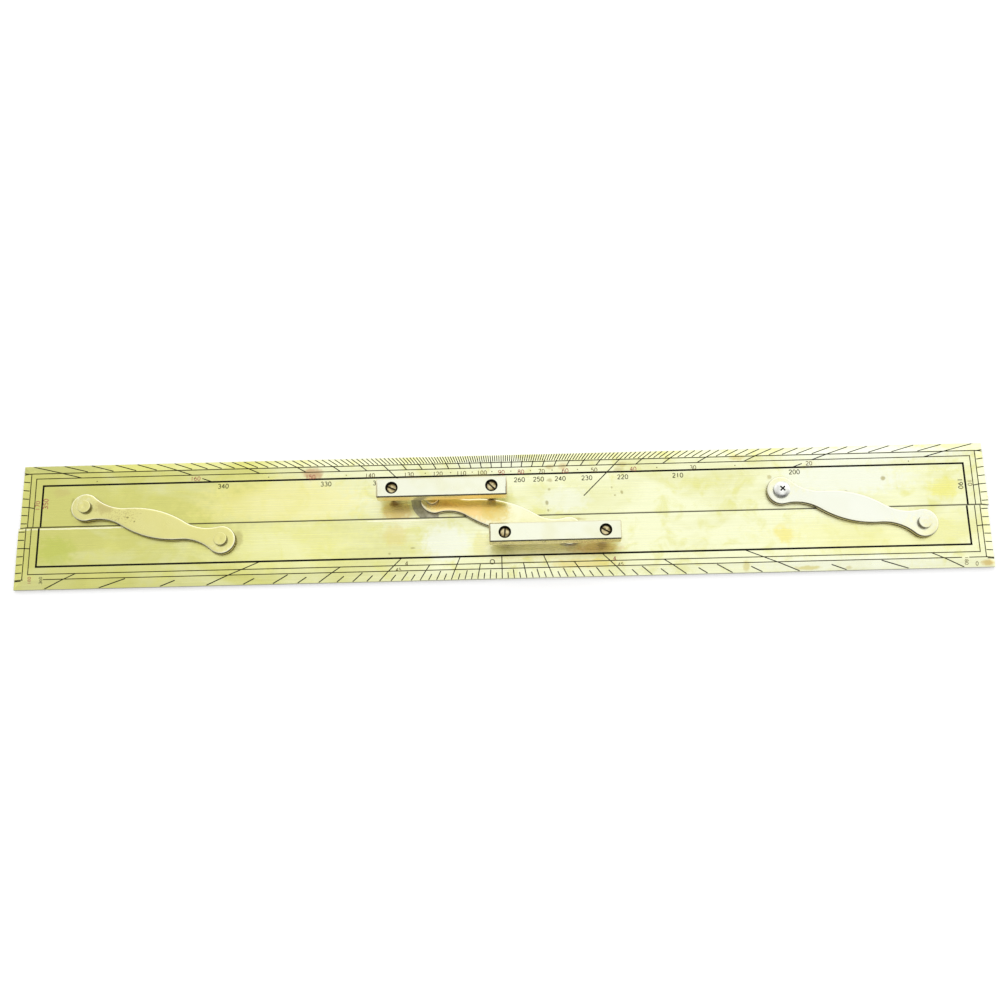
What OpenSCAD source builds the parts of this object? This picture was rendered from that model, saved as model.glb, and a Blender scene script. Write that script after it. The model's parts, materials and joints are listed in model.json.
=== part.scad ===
// Brass parallel rule with a protractor scale: two bevelled blades, three swinging links
// and two raised grip bars. Millimetres, +Z up, drawn closed, underside on z = 0.
// X runs along the rule, +Y points to the ruling edge that carries the degree scale.

/* [Blades] */
// Length of each blade
rule_length = 457.2; // [380:0.1:640]
// Width of the upper blade, from the seam to its ruling edge
upper_width = 30.6; // [26:0.1:44]
// Width of the lower blade, from the seam to its ruling edge
lower_width = 29.4; // [26:0.1:44]
// Gap between the blades when the rule is closed
seam_gap = 0.3; // [0.2:0.05:1]
// How far the closed lower blade stands to the left of the upper one
stagger = 0.66; // [0:0.02:2]
// Thickness of both blades
blade_thickness = 3; // [2.4:0.1:5]
// Thickness left at the foot of every bevel
edge_thickness = 1.6; // [0.8:0.1:2.2]
// Width of the bevel along the upper ruling edge
upper_bevel = 3.6; // [2:0.1:5]
// Width of the bevel along the lower ruling edge
lower_bevel = 4; // [2:0.1:5]
// Width of the bevel across the ends
end_bevel = 3.6; // [2:0.1:5]

/* [Links] */
// Distance between the two pivots of a link
link_length = 67.2; // [50:0.1:90]
// Distance of the outermost pivots from the ends of the rule
end_pivot_room = 32.05; // [20:0.05:50]
// Distance of every pivot from the middle of the seam
pivot_inset = 8.65; // [7.5:0.05:12]
// Thickness of a link
link_thickness = 2.4; // [1.5:0.1:3]
// Width across the round ends of a link
link_end_w = 13.4; // [10:0.1:16]
// Width at the necks of a link
link_neck_w = 7; // [5:0.1:8]
// Width at the middle of a link
link_middle_w = 13.6; // [10:0.1:18]
// Distance of each neck from the pivot beside it
neck_from_pivot = 12.9; // [10:0.1:16]
// How far inside its pivots the middle link's round ends are centred
middle_end_shift = 1.2; // [0:0.1:2]

/* [Pivots] */
// Diameter of a pin head
pin_head_d = 6.2; // [5:0.1:8]
// Height of a pin head
pin_head_h = 2; // [1:0.1:3]
// Diameter of the pin where the link turns on it
pin_shank_d = 4; // [3.4:0.1:4.6]
// Diameter of the riveted spigot in the blade
pin_spigot_d = 3; // [2:0.1:3.2]
// Radial room for a link to turn on its pin
turning_clearance = 0.05; // [0.02:0.01:0.1]
// Radial room for a riveted spigot in its hole
rivet_clearance = 0.02; // [0.01:0.01:0.05]
// Room above and below a link
end_play = 0.06; // [0.04:0.01:0.2]
// Diameter of a brass spacing washer
washer_d = 9; // [7:0.1:12]
// Diameter of the steel washer under the middle link
steel_washer_d = 20; // [12:0.1:22]
// How far the steel washer reaches to the right of its pivot, where it is cut off
steel_washer_reach = 2.8; // [2.6:0.1:6]
// Thickness of all spacing washers
washer_thickness = 0.6; // [0.3:0.05:1]
// Diameter of the steel screw head on the right link
steel_head_d = 7.6; // [6:0.1:10]
// Height of the steel screw head
steel_head_h = 3; // [1.8:0.1:3.5]
// Span of the cross recess in the steel screw head
cross_span = 3; // [2:0.1:4]
// Width of one arm of the cross recess
cross_arm_w = 0.7; // [0.5:0.05:1]
// Depth of the cross recess
cross_depth = 1.1; // [0.6:0.1:1.5]

/* [Grips] */
// Length of a grip bar
grip_length = 60.6; // [50:0.1:80]
// Width of a grip bar
grip_width = 9; // [7.4:0.1:12]
// Thickness of a grip bar
grip_thickness = 6.5; // [5.4:0.1:9]
// Finger room between the blades and the grip bars
finger_gap = 10; // [8:0.1:16]
// Place of the upper grip bar's middle along the rule
upper_grip_x = -27.3; // [-32:0.1:-22]
// Place of the lower grip bar's middle along the rule
lower_grip_x = 24.5; // [20:0.1:30]
// Room between the swell of the middle link and the upper bar's pillar beside it
upper_pillar_room = 0.2; // [0:0.05:4]
// Room between the swell of the middle link and the lower bar's pillar beside it
lower_pillar_room = 2.15; // [0:0.05:4]
// Radius of a grip bar's upright corners
grip_corner_r = 0.8; // [0.4:0.1:2]
// Distance of each grip screw from the end of its bar
grip_screw_inset = 7.25; // [5:0.05:10]
// Diameter of a pillar
pillar_d = 4.2; // [4:0.1:6]
// Diameter of the grip screw's thread
grip_screw_d = 2.5; // [2:0.1:2.8]
// Length of thread in the pillar
thread_length = 5; // [3:0.1:7]
// Radial room for a thread in its hole
thread_clearance = 0.02; // [0.01:0.01:0.05]
// Radial room for the screw where it passes through the bar
hole_clearance = 0.1; // [0.05:0.01:0.2]
// Diameter of the grip screw's head
grip_head_d = 4.4; // [4:0.1:5]
// Height of the grip screw's head
grip_head_h = 1.6; // [1.2:0.1:2]
// Diameter of the counterbore in the bar
counterbore_d = 5.8; // [5.4:0.1:6.8]
// How far the screw head lies below the top of the bar
head_recess = 1.4; // [0.5:0.1:2]
// Width of the slot in the screw head
slot_w = 0.8; // [0.5:0.05:1]
// Depth of the slot in the screw head
slot_depth = 0.8; // [0.5:0.05:1]

/* [Engraving] */
// Width of the thin lines and ticks
line_w = 0.45; // [0.2:0.05:0.5]
// Width of the heavy frame line
frame_w = 0.9; // [0.5:0.05:1]
// Depth of the ticks
line_depth = 0.12; // [0.08:0.01:0.2]
// Depth of the frame lines
frame_depth = 0.17; // [0.14:0.01:0.3]
// Distance from the ruling edges and ends at which the ticks start
line_margin = 0.1; // [0.05:0.05:0.5]
// Width of the band between the bevel and the second line
second_band = 3; // [2:0.1:4]
// Width of the band between the second line and the heavy frame line
number_band = 3.6; // [2.5:0.1:5]
// How far the two long radial lines run in from the upper ruling edge
radial_reach = 21.6; // [15:0.1:24]
// Distance from the upper ruling edge to the point at which the points scale aims
points_drop = 2.9; // [1:0.1:6]
// How far the shortest ticks of the points scale run in
short_tick = 2.7; // [1.5:0.1:3.5]
// Distance of the two index lines along the lower ruling edge from its ends
index_room = 14.1; // [13:0.1:30]
// Distance from the left end to the break in the lower blade's first line
left_break_room = 4.5; // [4:0.1:9]
// Width of the break near the left end
left_break_w = 9.4; // [3:0.1:10]
// Distance from the right end to the break in the lower blade's first line
right_break_room = 12; // [4:0.1:16]
// Width of the break near the right end
right_break_w = 3.4; // [3:0.1:10]
// Lean of the index lines
index_lean = 65; // [45:1:70]

/* [Hidden] */
$fn = 96;
brass = "#d9cd7c";
bright_brass = "#e6dc98";
steel = "#c8cbce";
// Overshoot of the cutting shapes
eps = 1;
// Segments in each arc of a drawn outline
arc_steps = 12;

closed_width = upper_width + lower_width + seam_gap;
upper_edge_y = closed_width / 2;
lower_edge_y = -closed_width / 2;
upper_seam_y = upper_edge_y - upper_width;
lower_seam_y = lower_edge_y + lower_width;
seam_y = (upper_seam_y + lower_seam_y) / 2;
upper_x = stagger / 2;
lower_x = -stagger / 2;

// Pivots, links and the swing of a link when the rule is closed
upper_pivot_y = seam_y + pivot_inset;
lower_pivot_y = seam_y - pivot_inset;
link_swing = asin(2 * pivot_inset / link_length);
link_reach = link_length * cos(link_swing);
link_pitch = rule_length / 2 - end_pivot_room - link_reach / 2;
link_places = [-link_pitch, 0, link_pitch];
link_z = blade_thickness + washer_thickness + end_play;
pin_head_z = link_z + link_thickness + end_play;
half_link = link_length / 2;
end_r = link_end_w / 2;
half_neck = link_neck_w / 2;
half_middle = link_middle_w / 2;
neck_x = half_link - neck_from_pivot;
swell = half_middle - half_neck;

// Radii of a link's hollow neck and of its swell, for round ends centred a shift inside the pivots
function neck_radius(shift) =
    (pow(neck_from_pivot - shift, 2) + pow(half_neck, 2) - pow(end_r, 2)) / (2 * (end_r - half_neck));
function swell_radius(shift) = (pow(neck_x, 2) + pow(swell, 2)) / (2 * swell) - neck_radius(shift);

// Grip bars and their pillars
pillar_top = blade_thickness + finger_gap;
grip_top = pillar_top + grip_thickness;
head_seat_z = grip_top - head_recess - grip_head_h;
pillar_spread = grip_length / 2 - grip_screw_inset;
function pillar_off_link(room) = (half_middle + pillar_d / 2 + room) / cos(link_swing);
upper_grip_y = upper_pivot_y - (upper_grip_x + pillar_spread + link_reach / 2) * tan(link_swing)
    + pillar_off_link(upper_pillar_room);
lower_grip_y = lower_pivot_y + (link_reach / 2 - lower_grip_x + pillar_spread) * tan(link_swing)
    - pillar_off_link(lower_pillar_room);

// Scale lines, as distances in from an edge
function second_line(bevel) = bevel + second_band;
function frame_line(bevel) = bevel + second_band + number_band;
tail_start = second_line(upper_bevel) + number_band / 2;
points_centre = closed_width - points_drop;
number_breaks = [
    left_break_room - rule_length / 2, left_break_room + left_break_w - rule_length / 2,
    rule_length / 2 - right_break_room - right_break_w, rule_length / 2 - right_break_room
];
quarter_point = 360 / 128;

// Places of the upper and lower pivot of link number 0, 1 or 2
function upper_pivot(i) = [link_places[i] - link_reach / 2, upper_pivot_y, 0];
function lower_pivot(i) = [link_places[i] + link_reach / 2, lower_pivot_y, 0];

// Places of a bar's left and right pillar, side being -1 or 1
function upper_pillar(side) = [upper_grip_x + side * pillar_spread, upper_grip_y, 0];
function lower_pillar(side) = [lower_grip_x + side * pillar_spread, lower_grip_y, 0];

// Points of an arc about a centre, from one angle to another
function arc(centre, r, from, to) =
    [for (i = [0 : arc_steps]) let (a = from + (to - from) * i / arc_steps)
        centre + r * [cos(a), sin(a)]];

// A quarter of a link's outline, from its middle to its nose: the swell, the hollow of the
// neck and the round end, three arcs that run smoothly into each other
function link_quarter(shift) =
    let (
        neck_r = neck_radius(shift),
        swell_r = swell_radius(shift),
        swell_c = [0, half_middle - swell_r],
        neck_c = [neck_x, half_neck + neck_r],
        end_c = [half_link - shift, 0],
        swell_end = atan2(neck_c.y - swell_c.y, neck_c.x),
        neck_end = atan2(-neck_c.y, end_c.x - neck_x)
    )
    concat(
        arc(swell_c, swell_r, 90, swell_end),
        [for (i = [1 : arc_steps]) arc(neck_c, neck_r, swell_end - 180, neck_end)[i]],
        [for (i = [1 : arc_steps]) arc(end_c, end_r, neck_end + 180, 0)[i]]
    );

// The whole outline: the quarter, its mirror images and no point twice
function link_outline(shift) =
    let (q = link_quarter(shift), n = len(q) - 1)
    concat(
        [for (i = [0 : n]) q[i]],
        [for (i = [n - 1 : -1 : 0]) [q[i].x, -q[i].y]],
        [for (i = [1 : n]) -q[i]],
        [for (i = [n - 1 : -1 : 1]) [-q[i].x, q[i].y]]
    );

// A plate with its seam edge on y = 0 and its ruling edge at y = width,
// bevelled along the ruling edge and across both ends
module bevelled_plate(width, bevel) {
    difference() {
        rotate([90, 0, 90])
            linear_extrude(rule_length, center = true)
                polygon([
                    [0, 0], [width, 0], [width, edge_thickness],
                    [width - bevel, blade_thickness], [0, blade_thickness]
                ]);
        for (side = [0, 1])
            mirror([side, 0, 0])
                translate([rule_length / 2, width + eps, edge_thickness])
                    rotate([90, 0, 0])
                        linear_extrude(width + 2 * eps)
                            end_bevel_cut();
    }
}

// Outline of what the end bevel takes off, with the foot of the bevel at the origin
module end_bevel_cut() {
    rise = blade_thickness - edge_thickness;
    polygon([[0, 0], [-end_bevel, rise], [-end_bevel, rise + eps], [eps, rise + eps], [eps, 0]]);
}

// A line cut in from a bevelled edge that lies on the X axis, running along +Y at a
// constant depth over the bevel and the flat. The lean is the line's angle to the edge's
// normal, and its start and reach are measured square to the edge.
module tick(reach, bevel, lean, start = line_margin) {
    slope = (blade_thickness - edge_thickness) / bevel;
    floor_z = blade_thickness - line_depth;
    long = 1 / cos(lean);
    start_z = min(edge_thickness + start * slope - line_depth, floor_z);
    bend = start < bevel && reach > bevel ? [[bevel * long, floor_z]] : [];
    end_z = min(edge_thickness + reach * slope - line_depth, floor_z);
    rotate([90, 0, 90])
        linear_extrude(line_w, center = true)
            polygon(concat(
                [[start * long, start_z]], bend,
                [[reach * long, end_z], [reach * long, blade_thickness + eps],
                 [start * long, blade_thickness + eps]]
            ));
}

// A line parallel to the ruling edge and the ends, in straight runs on the flat. The run
// along the ruling edge is broken between each pair of the given places.
module frame_cut(width, bevel, inset, line, breaks = []) {
    end_x = rule_length / 2 - end_bevel - inset;
    run_y = width - bevel - inset;
    floor_z = blade_thickness - frame_depth;
    stops = concat([-end_x - line / 2], breaks, [end_x + line / 2]);
    for (i = [0 : 2 : len(stops) - 2])
        translate([stops[i], run_y - line / 2, floor_z])
            cube([stops[i + 1] - stops[i], line, frame_depth + eps]);
    for (side = [-1, 1])
        translate([side * end_x - line / 2, line_margin, floor_z])
            cube([line, run_y - line_margin, frame_depth + eps]);
}

// The three frame lines of a blade, of which the first is carried over both end bevels
// and may be broken for numbers
module frame_cuts(width, bevel, breaks = []) {
    frame_cut(width, bevel, line_w, line_w, breaks);
    frame_cut(width, bevel, second_band, line_w);
    frame_cut(width, bevel, second_band + number_band, frame_w);
    for (side = [0, 1])
        mirror([side, 0, 0])
            translate([rule_length / 2, width - bevel - line_w, 0])
                rotate([0, 0, 90])
                    tick(end_bevel + line_w, end_bevel, 0);
}

// Reach of a degree tick, longer at every fifth degree and longest at 45 and 135
function degree_reach(a, bevel) =
    a == 45 || a == 135 ? radial_reach
    : a % 5 == 0 ? second_line(bevel) : bevel;

// Degree ticks on the upper ruling edge, all pointing at the middle of the lower edge. The
// ticks at 20 and 160 go on past their number to the heavy line.
module degree_cuts() {
    corner = ceil(atan2(closed_width, rule_length / 2));
    for (a = [corner : 180 - corner])
        translate([closed_width / tan(a), upper_edge_y, 0])
            rotate([0, 0, 90 + a]) {
                tick(degree_reach(a, upper_bevel), upper_bevel, a - 90);
                if (a == 20 || a == 160)
                    tick(frame_line(upper_bevel), upper_bevel, a - 90, tail_start);
            }
}

// Degree ticks on both ends, between two heights above the lower ruling edge
module end_degree_cuts(low, high) {
    first = ceil(atan2(low + 2 * line_margin, rule_length / 2));
    last = floor(atan2(high - 2 * line_margin, rule_length / 2));
    for (side = [0, 1], a = [first : last])
        mirror([side, 0, 0])
            translate([rule_length / 2, lower_edge_y + rule_length / 2 * tan(a), 0])
                rotate([0, 0, 90 + a])
                    tick(degree_reach(a, end_bevel), end_bevel, a);
}

// Reach of a tick of the points scale, by its number of quarter points
function point_reach(k) =
    k % 8 == 0 ? frame_line(lower_bevel)
    : k % 4 == 0 ? second_line(lower_bevel)
    : k % 2 == 0 ? lower_bevel : short_tick;

// Quarter points on the lower ruling edge, all aiming at one point near the upper edge,
// and an index line towards each end
module point_cuts() {
    last = floor(atan2(rule_length / 2 - end_bevel, points_centre) / quarter_point);
    for (k = [-last : last])
        translate([points_centre * tan(k * quarter_point), lower_edge_y, 0])
            rotate([0, 0, k * quarter_point])
                tick(point_reach(abs(k)), lower_bevel, k * quarter_point);
    for (side = [0, 1])
        mirror([side, 0, 0])
            translate([rule_length / 2 - index_room, lower_edge_y, 0])
                rotate([0, 0, index_lean])
                    tick(second_line(lower_bevel), lower_bevel, index_lean);
}

// A hole straight through a blade
module blade_hole(place, d) {
    translate(place + [0, 0, -eps])
        cylinder(d = d + 2 * rivet_clearance, h = blade_thickness + 2 * eps);
}

// Upper blade with the degree scale
module upper_blade() {
    color(brass)
        difference() {
            translate([upper_x, upper_seam_y, 0])
                bevelled_plate(upper_width, upper_bevel);
            translate([upper_x, upper_seam_y, 0])
                frame_cuts(upper_width, upper_bevel);
            translate([upper_x, 0, 0]) {
                degree_cuts();
                end_degree_cuts(upper_seam_y - lower_edge_y, closed_width);
            }
            for (i = [0 : 2])
                blade_hole(upper_pivot(i), pin_spigot_d);
            for (side = [-1, 1])
                blade_hole(upper_pillar(side), pin_spigot_d);
        }
}

// Lower blade with the points scale
module lower_blade() {
    color(brass)
        difference() {
            translate([lower_x, lower_seam_y, 0])
                mirror([0, 1, 0])
                    bevelled_plate(lower_width, lower_bevel);
            translate([lower_x, lower_seam_y, 0])
                mirror([0, 1, 0])
                    frame_cuts(lower_width, lower_bevel, number_breaks);
            translate([lower_x, 0, 0]) {
                point_cuts();
                end_degree_cuts(0, lower_width);
            }
            for (i = [0 : 2])
                blade_hole(lower_pivot(i), pin_spigot_d);
            for (side = [-1, 1])
                blade_hole(lower_pillar(side), pin_spigot_d);
        }
}

// A link lying at its closed swing, with a bore at each end and its round ends centred a
// shift inside the bores
module link(i, shift = 0) {
    color(bright_brass)
        translate([link_places[i], seam_y, link_z])
            rotate([0, 0, -link_swing])
                difference() {
                    linear_extrude(link_thickness)
                        polygon(link_outline(shift));
                    for (side = [-1, 1])
                        translate([side * half_link, 0, -eps])
                            cylinder(d = pin_shank_d + 2 * turning_clearance,
                                     h = link_thickness + 2 * eps);
                }
}

// The shank on which a link turns, and the spigot below it that is riveted in the blade
module pivot_shank() {
    cylinder(d = pin_spigot_d, h = blade_thickness);
    translate([0, 0, blade_thickness])
        cylinder(d = pin_shank_d, h = pin_head_z - blade_thickness);
}

// A brass pin with a flat round head
module pin(place) {
    color(bright_brass)
        translate(place)
            union() {
                pivot_shank();
                translate([0, 0, pin_head_z])
                    cylinder(d = pin_head_d, h = pin_head_h);
            }
}

// A steel screw with a domed head and a cross recess
module steel_screw(place) {
    crown = steel_head_h / 2;
    crown_r = (pow(steel_head_d / 2, 2) + pow(crown, 2)) / (2 * crown);
    color(steel)
        translate(place)
            difference() {
                union() {
                    pivot_shank();
                    translate([0, 0, pin_head_z])
                        intersection() {
                            cylinder(d = steel_head_d, h = steel_head_h + eps);
                            translate([0, 0, steel_head_h - crown_r])
                                sphere(r = crown_r);
                        }
                }
                for (turn = [45, 135])
                    translate([0, 0, pin_head_z + steel_head_h - cross_depth])
                        rotate([0, 0, turn])
                            translate([-cross_span / 2, -cross_arm_w / 2, 0])
                                cube([cross_span, cross_arm_w, cross_depth + eps]);
            }
}

// A washer between a blade and a link, lying on the blade
module washer(place, d) {
    translate(place + [0, 0, blade_thickness])
        difference() {
            cylinder(d = d, h = washer_thickness);
            translate([0, 0, -eps])
                cylinder(d = pin_shank_d + 2 * turning_clearance, h = washer_thickness + 2 * eps);
        }
}

// A brass washer
module brass_washer(place) {
    color(brass)
        washer(place, washer_d);
}

// The steel washer, cut off flush with the upper blade's seam edge and beside its bore
module steel_washer(place) {
    color(steel)
        intersection() {
            washer(place, steel_washer_d);
            translate([place.x - steel_washer_d, upper_seam_y, 0])
                cube([steel_washer_d + steel_washer_reach, steel_washer_d * 2, pillar_top]);
        }
}

// Outline of a grip bar, a rectangle with round corners
function grip_outline() =
    [for (turn = [0 : 3], p = arc(grip_corner(turn), grip_corner_r, turn * 90, turn * 90 + 90)) p];

// Centre of one round corner of a grip bar, counted from the right rear corner
function grip_corner(turn) =
    [(turn == 0 || turn == 3 ? 1 : -1) * (grip_length / 2 - grip_corner_r),
     (turn < 2 ? 1 : -1) * (grip_width / 2 - grip_corner_r)];

// A grip bar with two counterbored holes
module grip_bar(x, y) {
    color(bright_brass)
        difference() {
            translate([x, y, pillar_top])
                linear_extrude(grip_thickness)
                    polygon(grip_outline());
            for (side = [-1, 1])
                translate([x + side * pillar_spread, y, 0]) {
                    translate([0, 0, pillar_top - eps])
                        cylinder(d = grip_screw_d + 2 * hole_clearance, h = grip_thickness + 2 * eps);
                    translate([0, 0, head_seat_z])
                        cylinder(d = counterbore_d, h = grip_thickness);
                }
        }
}

// A pillar, riveted in the blade below and tapped for a grip screw above
module pillar(place) {
    color(brass)
        translate(place)
            difference() {
                union() {
                    cylinder(d = pin_spigot_d, h = blade_thickness);
                    translate([0, 0, blade_thickness])
                        cylinder(d = pillar_d, h = finger_gap);
                }
                translate([0, 0, pillar_top - thread_length - eps])
                    cylinder(d = grip_screw_d + 2 * thread_clearance, h = thread_length + 2 * eps);
            }
}

// A slotted screw that holds a bar on its pillar
module grip_screw(place, turn) {
    color(brass)
        translate(place)
            difference() {
                union() {
                    translate([0, 0, pillar_top - thread_length])
                        cylinder(d = grip_screw_d, h = head_seat_z - pillar_top + thread_length);
                    translate([0, 0, head_seat_z])
                        cylinder(d = grip_head_d, h = grip_head_h);
                }
                translate([0, 0, head_seat_z + grip_head_h - slot_depth])
                    rotate([0, 0, turn])
                        translate([-grip_head_d, -slot_w / 2, 0])
                            cube([2 * grip_head_d, slot_w, slot_depth + eps]);
            }
}

upper_blade();
lower_blade();
link(0);  // left_link
link(1, middle_end_shift);  // middle_link
link(2);  // right_link
pin(upper_pivot(0));  // left_link_upper_pin
pin(lower_pivot(0));  // left_link_lower_pin
pin(upper_pivot(1));  // middle_link_upper_pin
pin(lower_pivot(1));  // middle_link_lower_pin
steel_screw(upper_pivot(2));  // right_link_upper_screw
pin(lower_pivot(2));  // right_link_lower_pin
brass_washer(upper_pivot(0));  // left_link_upper_washer
brass_washer(lower_pivot(0));  // left_link_lower_washer
steel_washer(upper_pivot(1));  // middle_link_upper_washer
brass_washer(lower_pivot(1));  // middle_link_lower_washer
brass_washer(upper_pivot(2));  // right_link_upper_washer
brass_washer(lower_pivot(2));  // right_link_lower_washer
grip_bar(upper_grip_x, upper_grip_y);  // upper_grip_bar
grip_bar(lower_grip_x, lower_grip_y);  // lower_grip_bar
pillar(upper_pillar(-1));  // upper_left_pillar
pillar(upper_pillar(1));  // upper_right_pillar
pillar(lower_pillar(-1));  // lower_left_pillar
pillar(lower_pillar(1));  // lower_right_pillar
grip_screw(upper_pillar(-1), -25);  // upper_left_grip_screw
grip_screw(upper_pillar(1), -45);  // upper_right_grip_screw
grip_screw(lower_pillar(-1), 85);  // lower_left_grip_screw
grip_screw(lower_pillar(1), -30);  // lower_right_grip_screw
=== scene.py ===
"""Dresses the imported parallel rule: two engraved brass blades, three links and two grips.

Lengths are millimetres in the classes and become metres where a mesh or a camera is made.
"""

import json
import logging
import math
from collections.abc import Callable
from dataclasses import dataclass, field
from enum import Enum
from functools import lru_cache
from typing import ClassVar

import bmesh
import bpy
import numpy as np
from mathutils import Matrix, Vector

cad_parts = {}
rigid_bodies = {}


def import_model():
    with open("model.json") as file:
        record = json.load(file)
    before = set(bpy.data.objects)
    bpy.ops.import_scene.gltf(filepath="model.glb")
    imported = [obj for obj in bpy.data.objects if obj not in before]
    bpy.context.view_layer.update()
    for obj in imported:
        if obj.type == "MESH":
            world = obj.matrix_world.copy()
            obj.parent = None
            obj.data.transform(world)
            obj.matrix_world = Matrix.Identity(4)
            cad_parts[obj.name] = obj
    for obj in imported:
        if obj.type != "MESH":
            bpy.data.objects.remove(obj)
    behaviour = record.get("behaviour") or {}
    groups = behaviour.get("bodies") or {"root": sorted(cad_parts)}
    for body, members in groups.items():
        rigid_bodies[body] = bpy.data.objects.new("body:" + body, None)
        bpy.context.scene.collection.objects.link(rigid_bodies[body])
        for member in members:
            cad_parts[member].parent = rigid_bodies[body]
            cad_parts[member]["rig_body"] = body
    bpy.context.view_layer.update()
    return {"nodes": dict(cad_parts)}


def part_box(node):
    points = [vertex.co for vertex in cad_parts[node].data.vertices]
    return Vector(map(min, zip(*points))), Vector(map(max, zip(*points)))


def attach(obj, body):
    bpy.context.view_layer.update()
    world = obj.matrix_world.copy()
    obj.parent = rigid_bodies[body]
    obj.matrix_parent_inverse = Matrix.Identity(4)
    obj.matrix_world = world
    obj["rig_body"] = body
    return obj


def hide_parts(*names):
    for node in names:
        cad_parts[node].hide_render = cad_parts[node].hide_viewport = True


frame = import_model()

MM = 0.001
WHITE = (1.0, 1.0, 1.0, 1.0)
# Points that round to the same multiple of this length are one
WELD = 1e-5
log = logging.getLogger("parallel_rule")

Array = np.ndarray
Height = Callable[[Array, Array], Array]
Span = tuple[float, float]
# What comes in at both ends of a range, and what goes out there
Ramp = tuple[float, float, float, float]
Node, Socket, Tree = bpy.types.Node, bpy.types.NodeSocket, bpy.types.NodeTree
Material = bpy.types.Material

# Blender's names for the nodes that the finishes share, and settings that many of them have
COORDS, MAPPING, GEOMETRY = "ShaderNodeTexCoord", "ShaderNodeMapping", "ShaderNodeNewGeometry"
NOISE, RANGE, MIX = "ShaderNodeTexNoise", "ShaderNodeMapRange", "ShaderNodeMix"
MATH, VECTOR, SPLIT = "ShaderNodeMath", "ShaderNodeVectorMath", "ShaderNodeSeparateXYZ"
BUMP, SHADER, OUTPUT = "ShaderNodeBump", "ShaderNodeBsdfPrincipled", "ShaderNodeOutputMaterial"
SOFT = {"interpolation_type": "SMOOTHSTEP"}
RGBA = {"data_type": "RGBA"}


class Wax(Enum):
    """The waxes that fill the engraving."""

    BLACK = "black"
    DARK = "dark"
    WORN = "worn"
    RED = "red"


@dataclass(frozen=True)
class Seat:
    """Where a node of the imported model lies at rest: its lowest and highest corner."""

    low: Array
    high: Array

    @property
    def centre(self) -> Array:
        """Gives the middle of the box."""
        return (self.low + self.high) / 2

    @property
    def half(self) -> Array:
        """Gives half the size of the box."""
        return (self.high - self.low) / 2


@lru_cache
def seat(node: str) -> Seat:
    """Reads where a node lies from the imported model.

    Args:
        node: Name of the node.

    Returns:
        The node's box in millimetres.
    """
    low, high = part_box(node)
    return Seat(np.array(low) / MM, np.array(high) / MM)


# Colours and nodes


def linear(code: str) -> tuple[float, float, float, float]:
    """Turns an sRGB hex colour into linear light.

    Args:
        code: Six hex digits after a hash.

    Returns:
        Red, green, blue and an alpha of one.
    """
    parts = [int(code[i:i + 2], 16) / 255 for i in (1, 3, 5)]
    light = [p / 12.92 if p <= 0.04045 else ((p + 0.055) / 1.055) ** 2.4 for p in parts]
    return (light[0], light[1], light[2], 1.0)


def add(tree: Tree, kind: str, inputs: dict | list | None = None, **settings: object) -> Node:
    """Adds one node with its settings and links.

    Args:
        tree: The node tree that gets the node.
        kind: Blender's name for the node.
        inputs: Values, sockets or nodes to join, by input name or number, or a list of them
            in the order of the inputs. A node gives its first output in use.
        settings: Attributes of the node.

    Returns:
        The new node.
    """
    node = tree.nodes.new(kind)
    for name, value in settings.items():
        setattr(node, name, value)
    pairs = enumerate(inputs) if isinstance(inputs, list) else (inputs or {}).items()
    for key, value in pairs:
        if isinstance(value, Node):
            value = next(socket for socket in value.outputs if socket.enabled)
        if isinstance(value, Socket):
            tree.links.new(value, node.inputs[key])
        else:
            node.inputs[key].default_value = value
    return node


# Finishes


@dataclass(frozen=True)
class Stain:
    """A soft-edged mark, an ellipse about a place on the rule, whole or broken into specks.

    Some are real marks on the metal, the others painted light and shade.
    """

    x: float
    y: float
    rx: float
    ry: float
    colour: str
    strength: float
    speck_mm: float | None = None
    # In radii: how far noise pushes the edge, and between which distances the mark fades
    push: ClassVar[float] = 1.1
    fade: ClassVar[Span] = (0.45, 1.15)
    specks: ClassVar[Ramp] = (0.52, 0.64, 0.0, 1.0)

    def lay(self, tree: Tree, place: Socket, noise: Node, below: Node) -> Node:
        """Lays the mark over a colour.

        Args:
            tree: The material's node tree.
            place: The object's coordinates.
            noise: A noise that makes the stain's edge uneven.
            below: The colour below the mark.

        Returns:
            The colour with the mark on it.
        """
        shift = self.push / 2
        centred = add(tree, MAPPING, {
            "Vector": place, "Scale": (1 / self.rx / MM, 1 / self.ry / MM, 0.0),
            "Location": (-self.x / self.rx - shift, -self.y / self.ry - shift, 0.0)})
        uneven = add(tree, VECTOR, [noise.outputs[1], (self.push, self.push, 0.0), centred],
                     operation="MULTIPLY_ADD")
        reach = add(tree, VECTOR, [uneven], operation="LENGTH")
        share = add(tree, RANGE, [reach, *self.fade, self.strength, 0.0], **SOFT)
        if self.speck_mm:
            grit = add(tree, NOISE, {"Vector": place, "Scale": 1 / self.speck_mm / MM,
                                     "Detail": 2.0})
            broken = add(tree, RANGE, [grit, *self.specks])
            share = add(tree, MATH, [share, broken], operation="MULTIPLY")
        return add(tree, MIX, {0: share, 6: below, 7: linear(self.colour)}, **RGBA)


def off_axis(tree: Tree, place: Socket, node: str) -> Node:
    """Gives how far a point lies from the upright axis of a round node.

    Args:
        tree: The material's node tree.
        place: The object's coordinates.
        node: Name of the round node.

    Returns:
        The distance in millimetres.
    """
    x, y, _ = seat(node).centre
    across = add(tree, MAPPING, {"Vector": place, "Scale": (1 / MM, 1 / MM, 0.0),
                                 "Location": (-x, -y, 0.0)})
    return add(tree, VECTOR, [across], operation="LENGTH")


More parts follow.
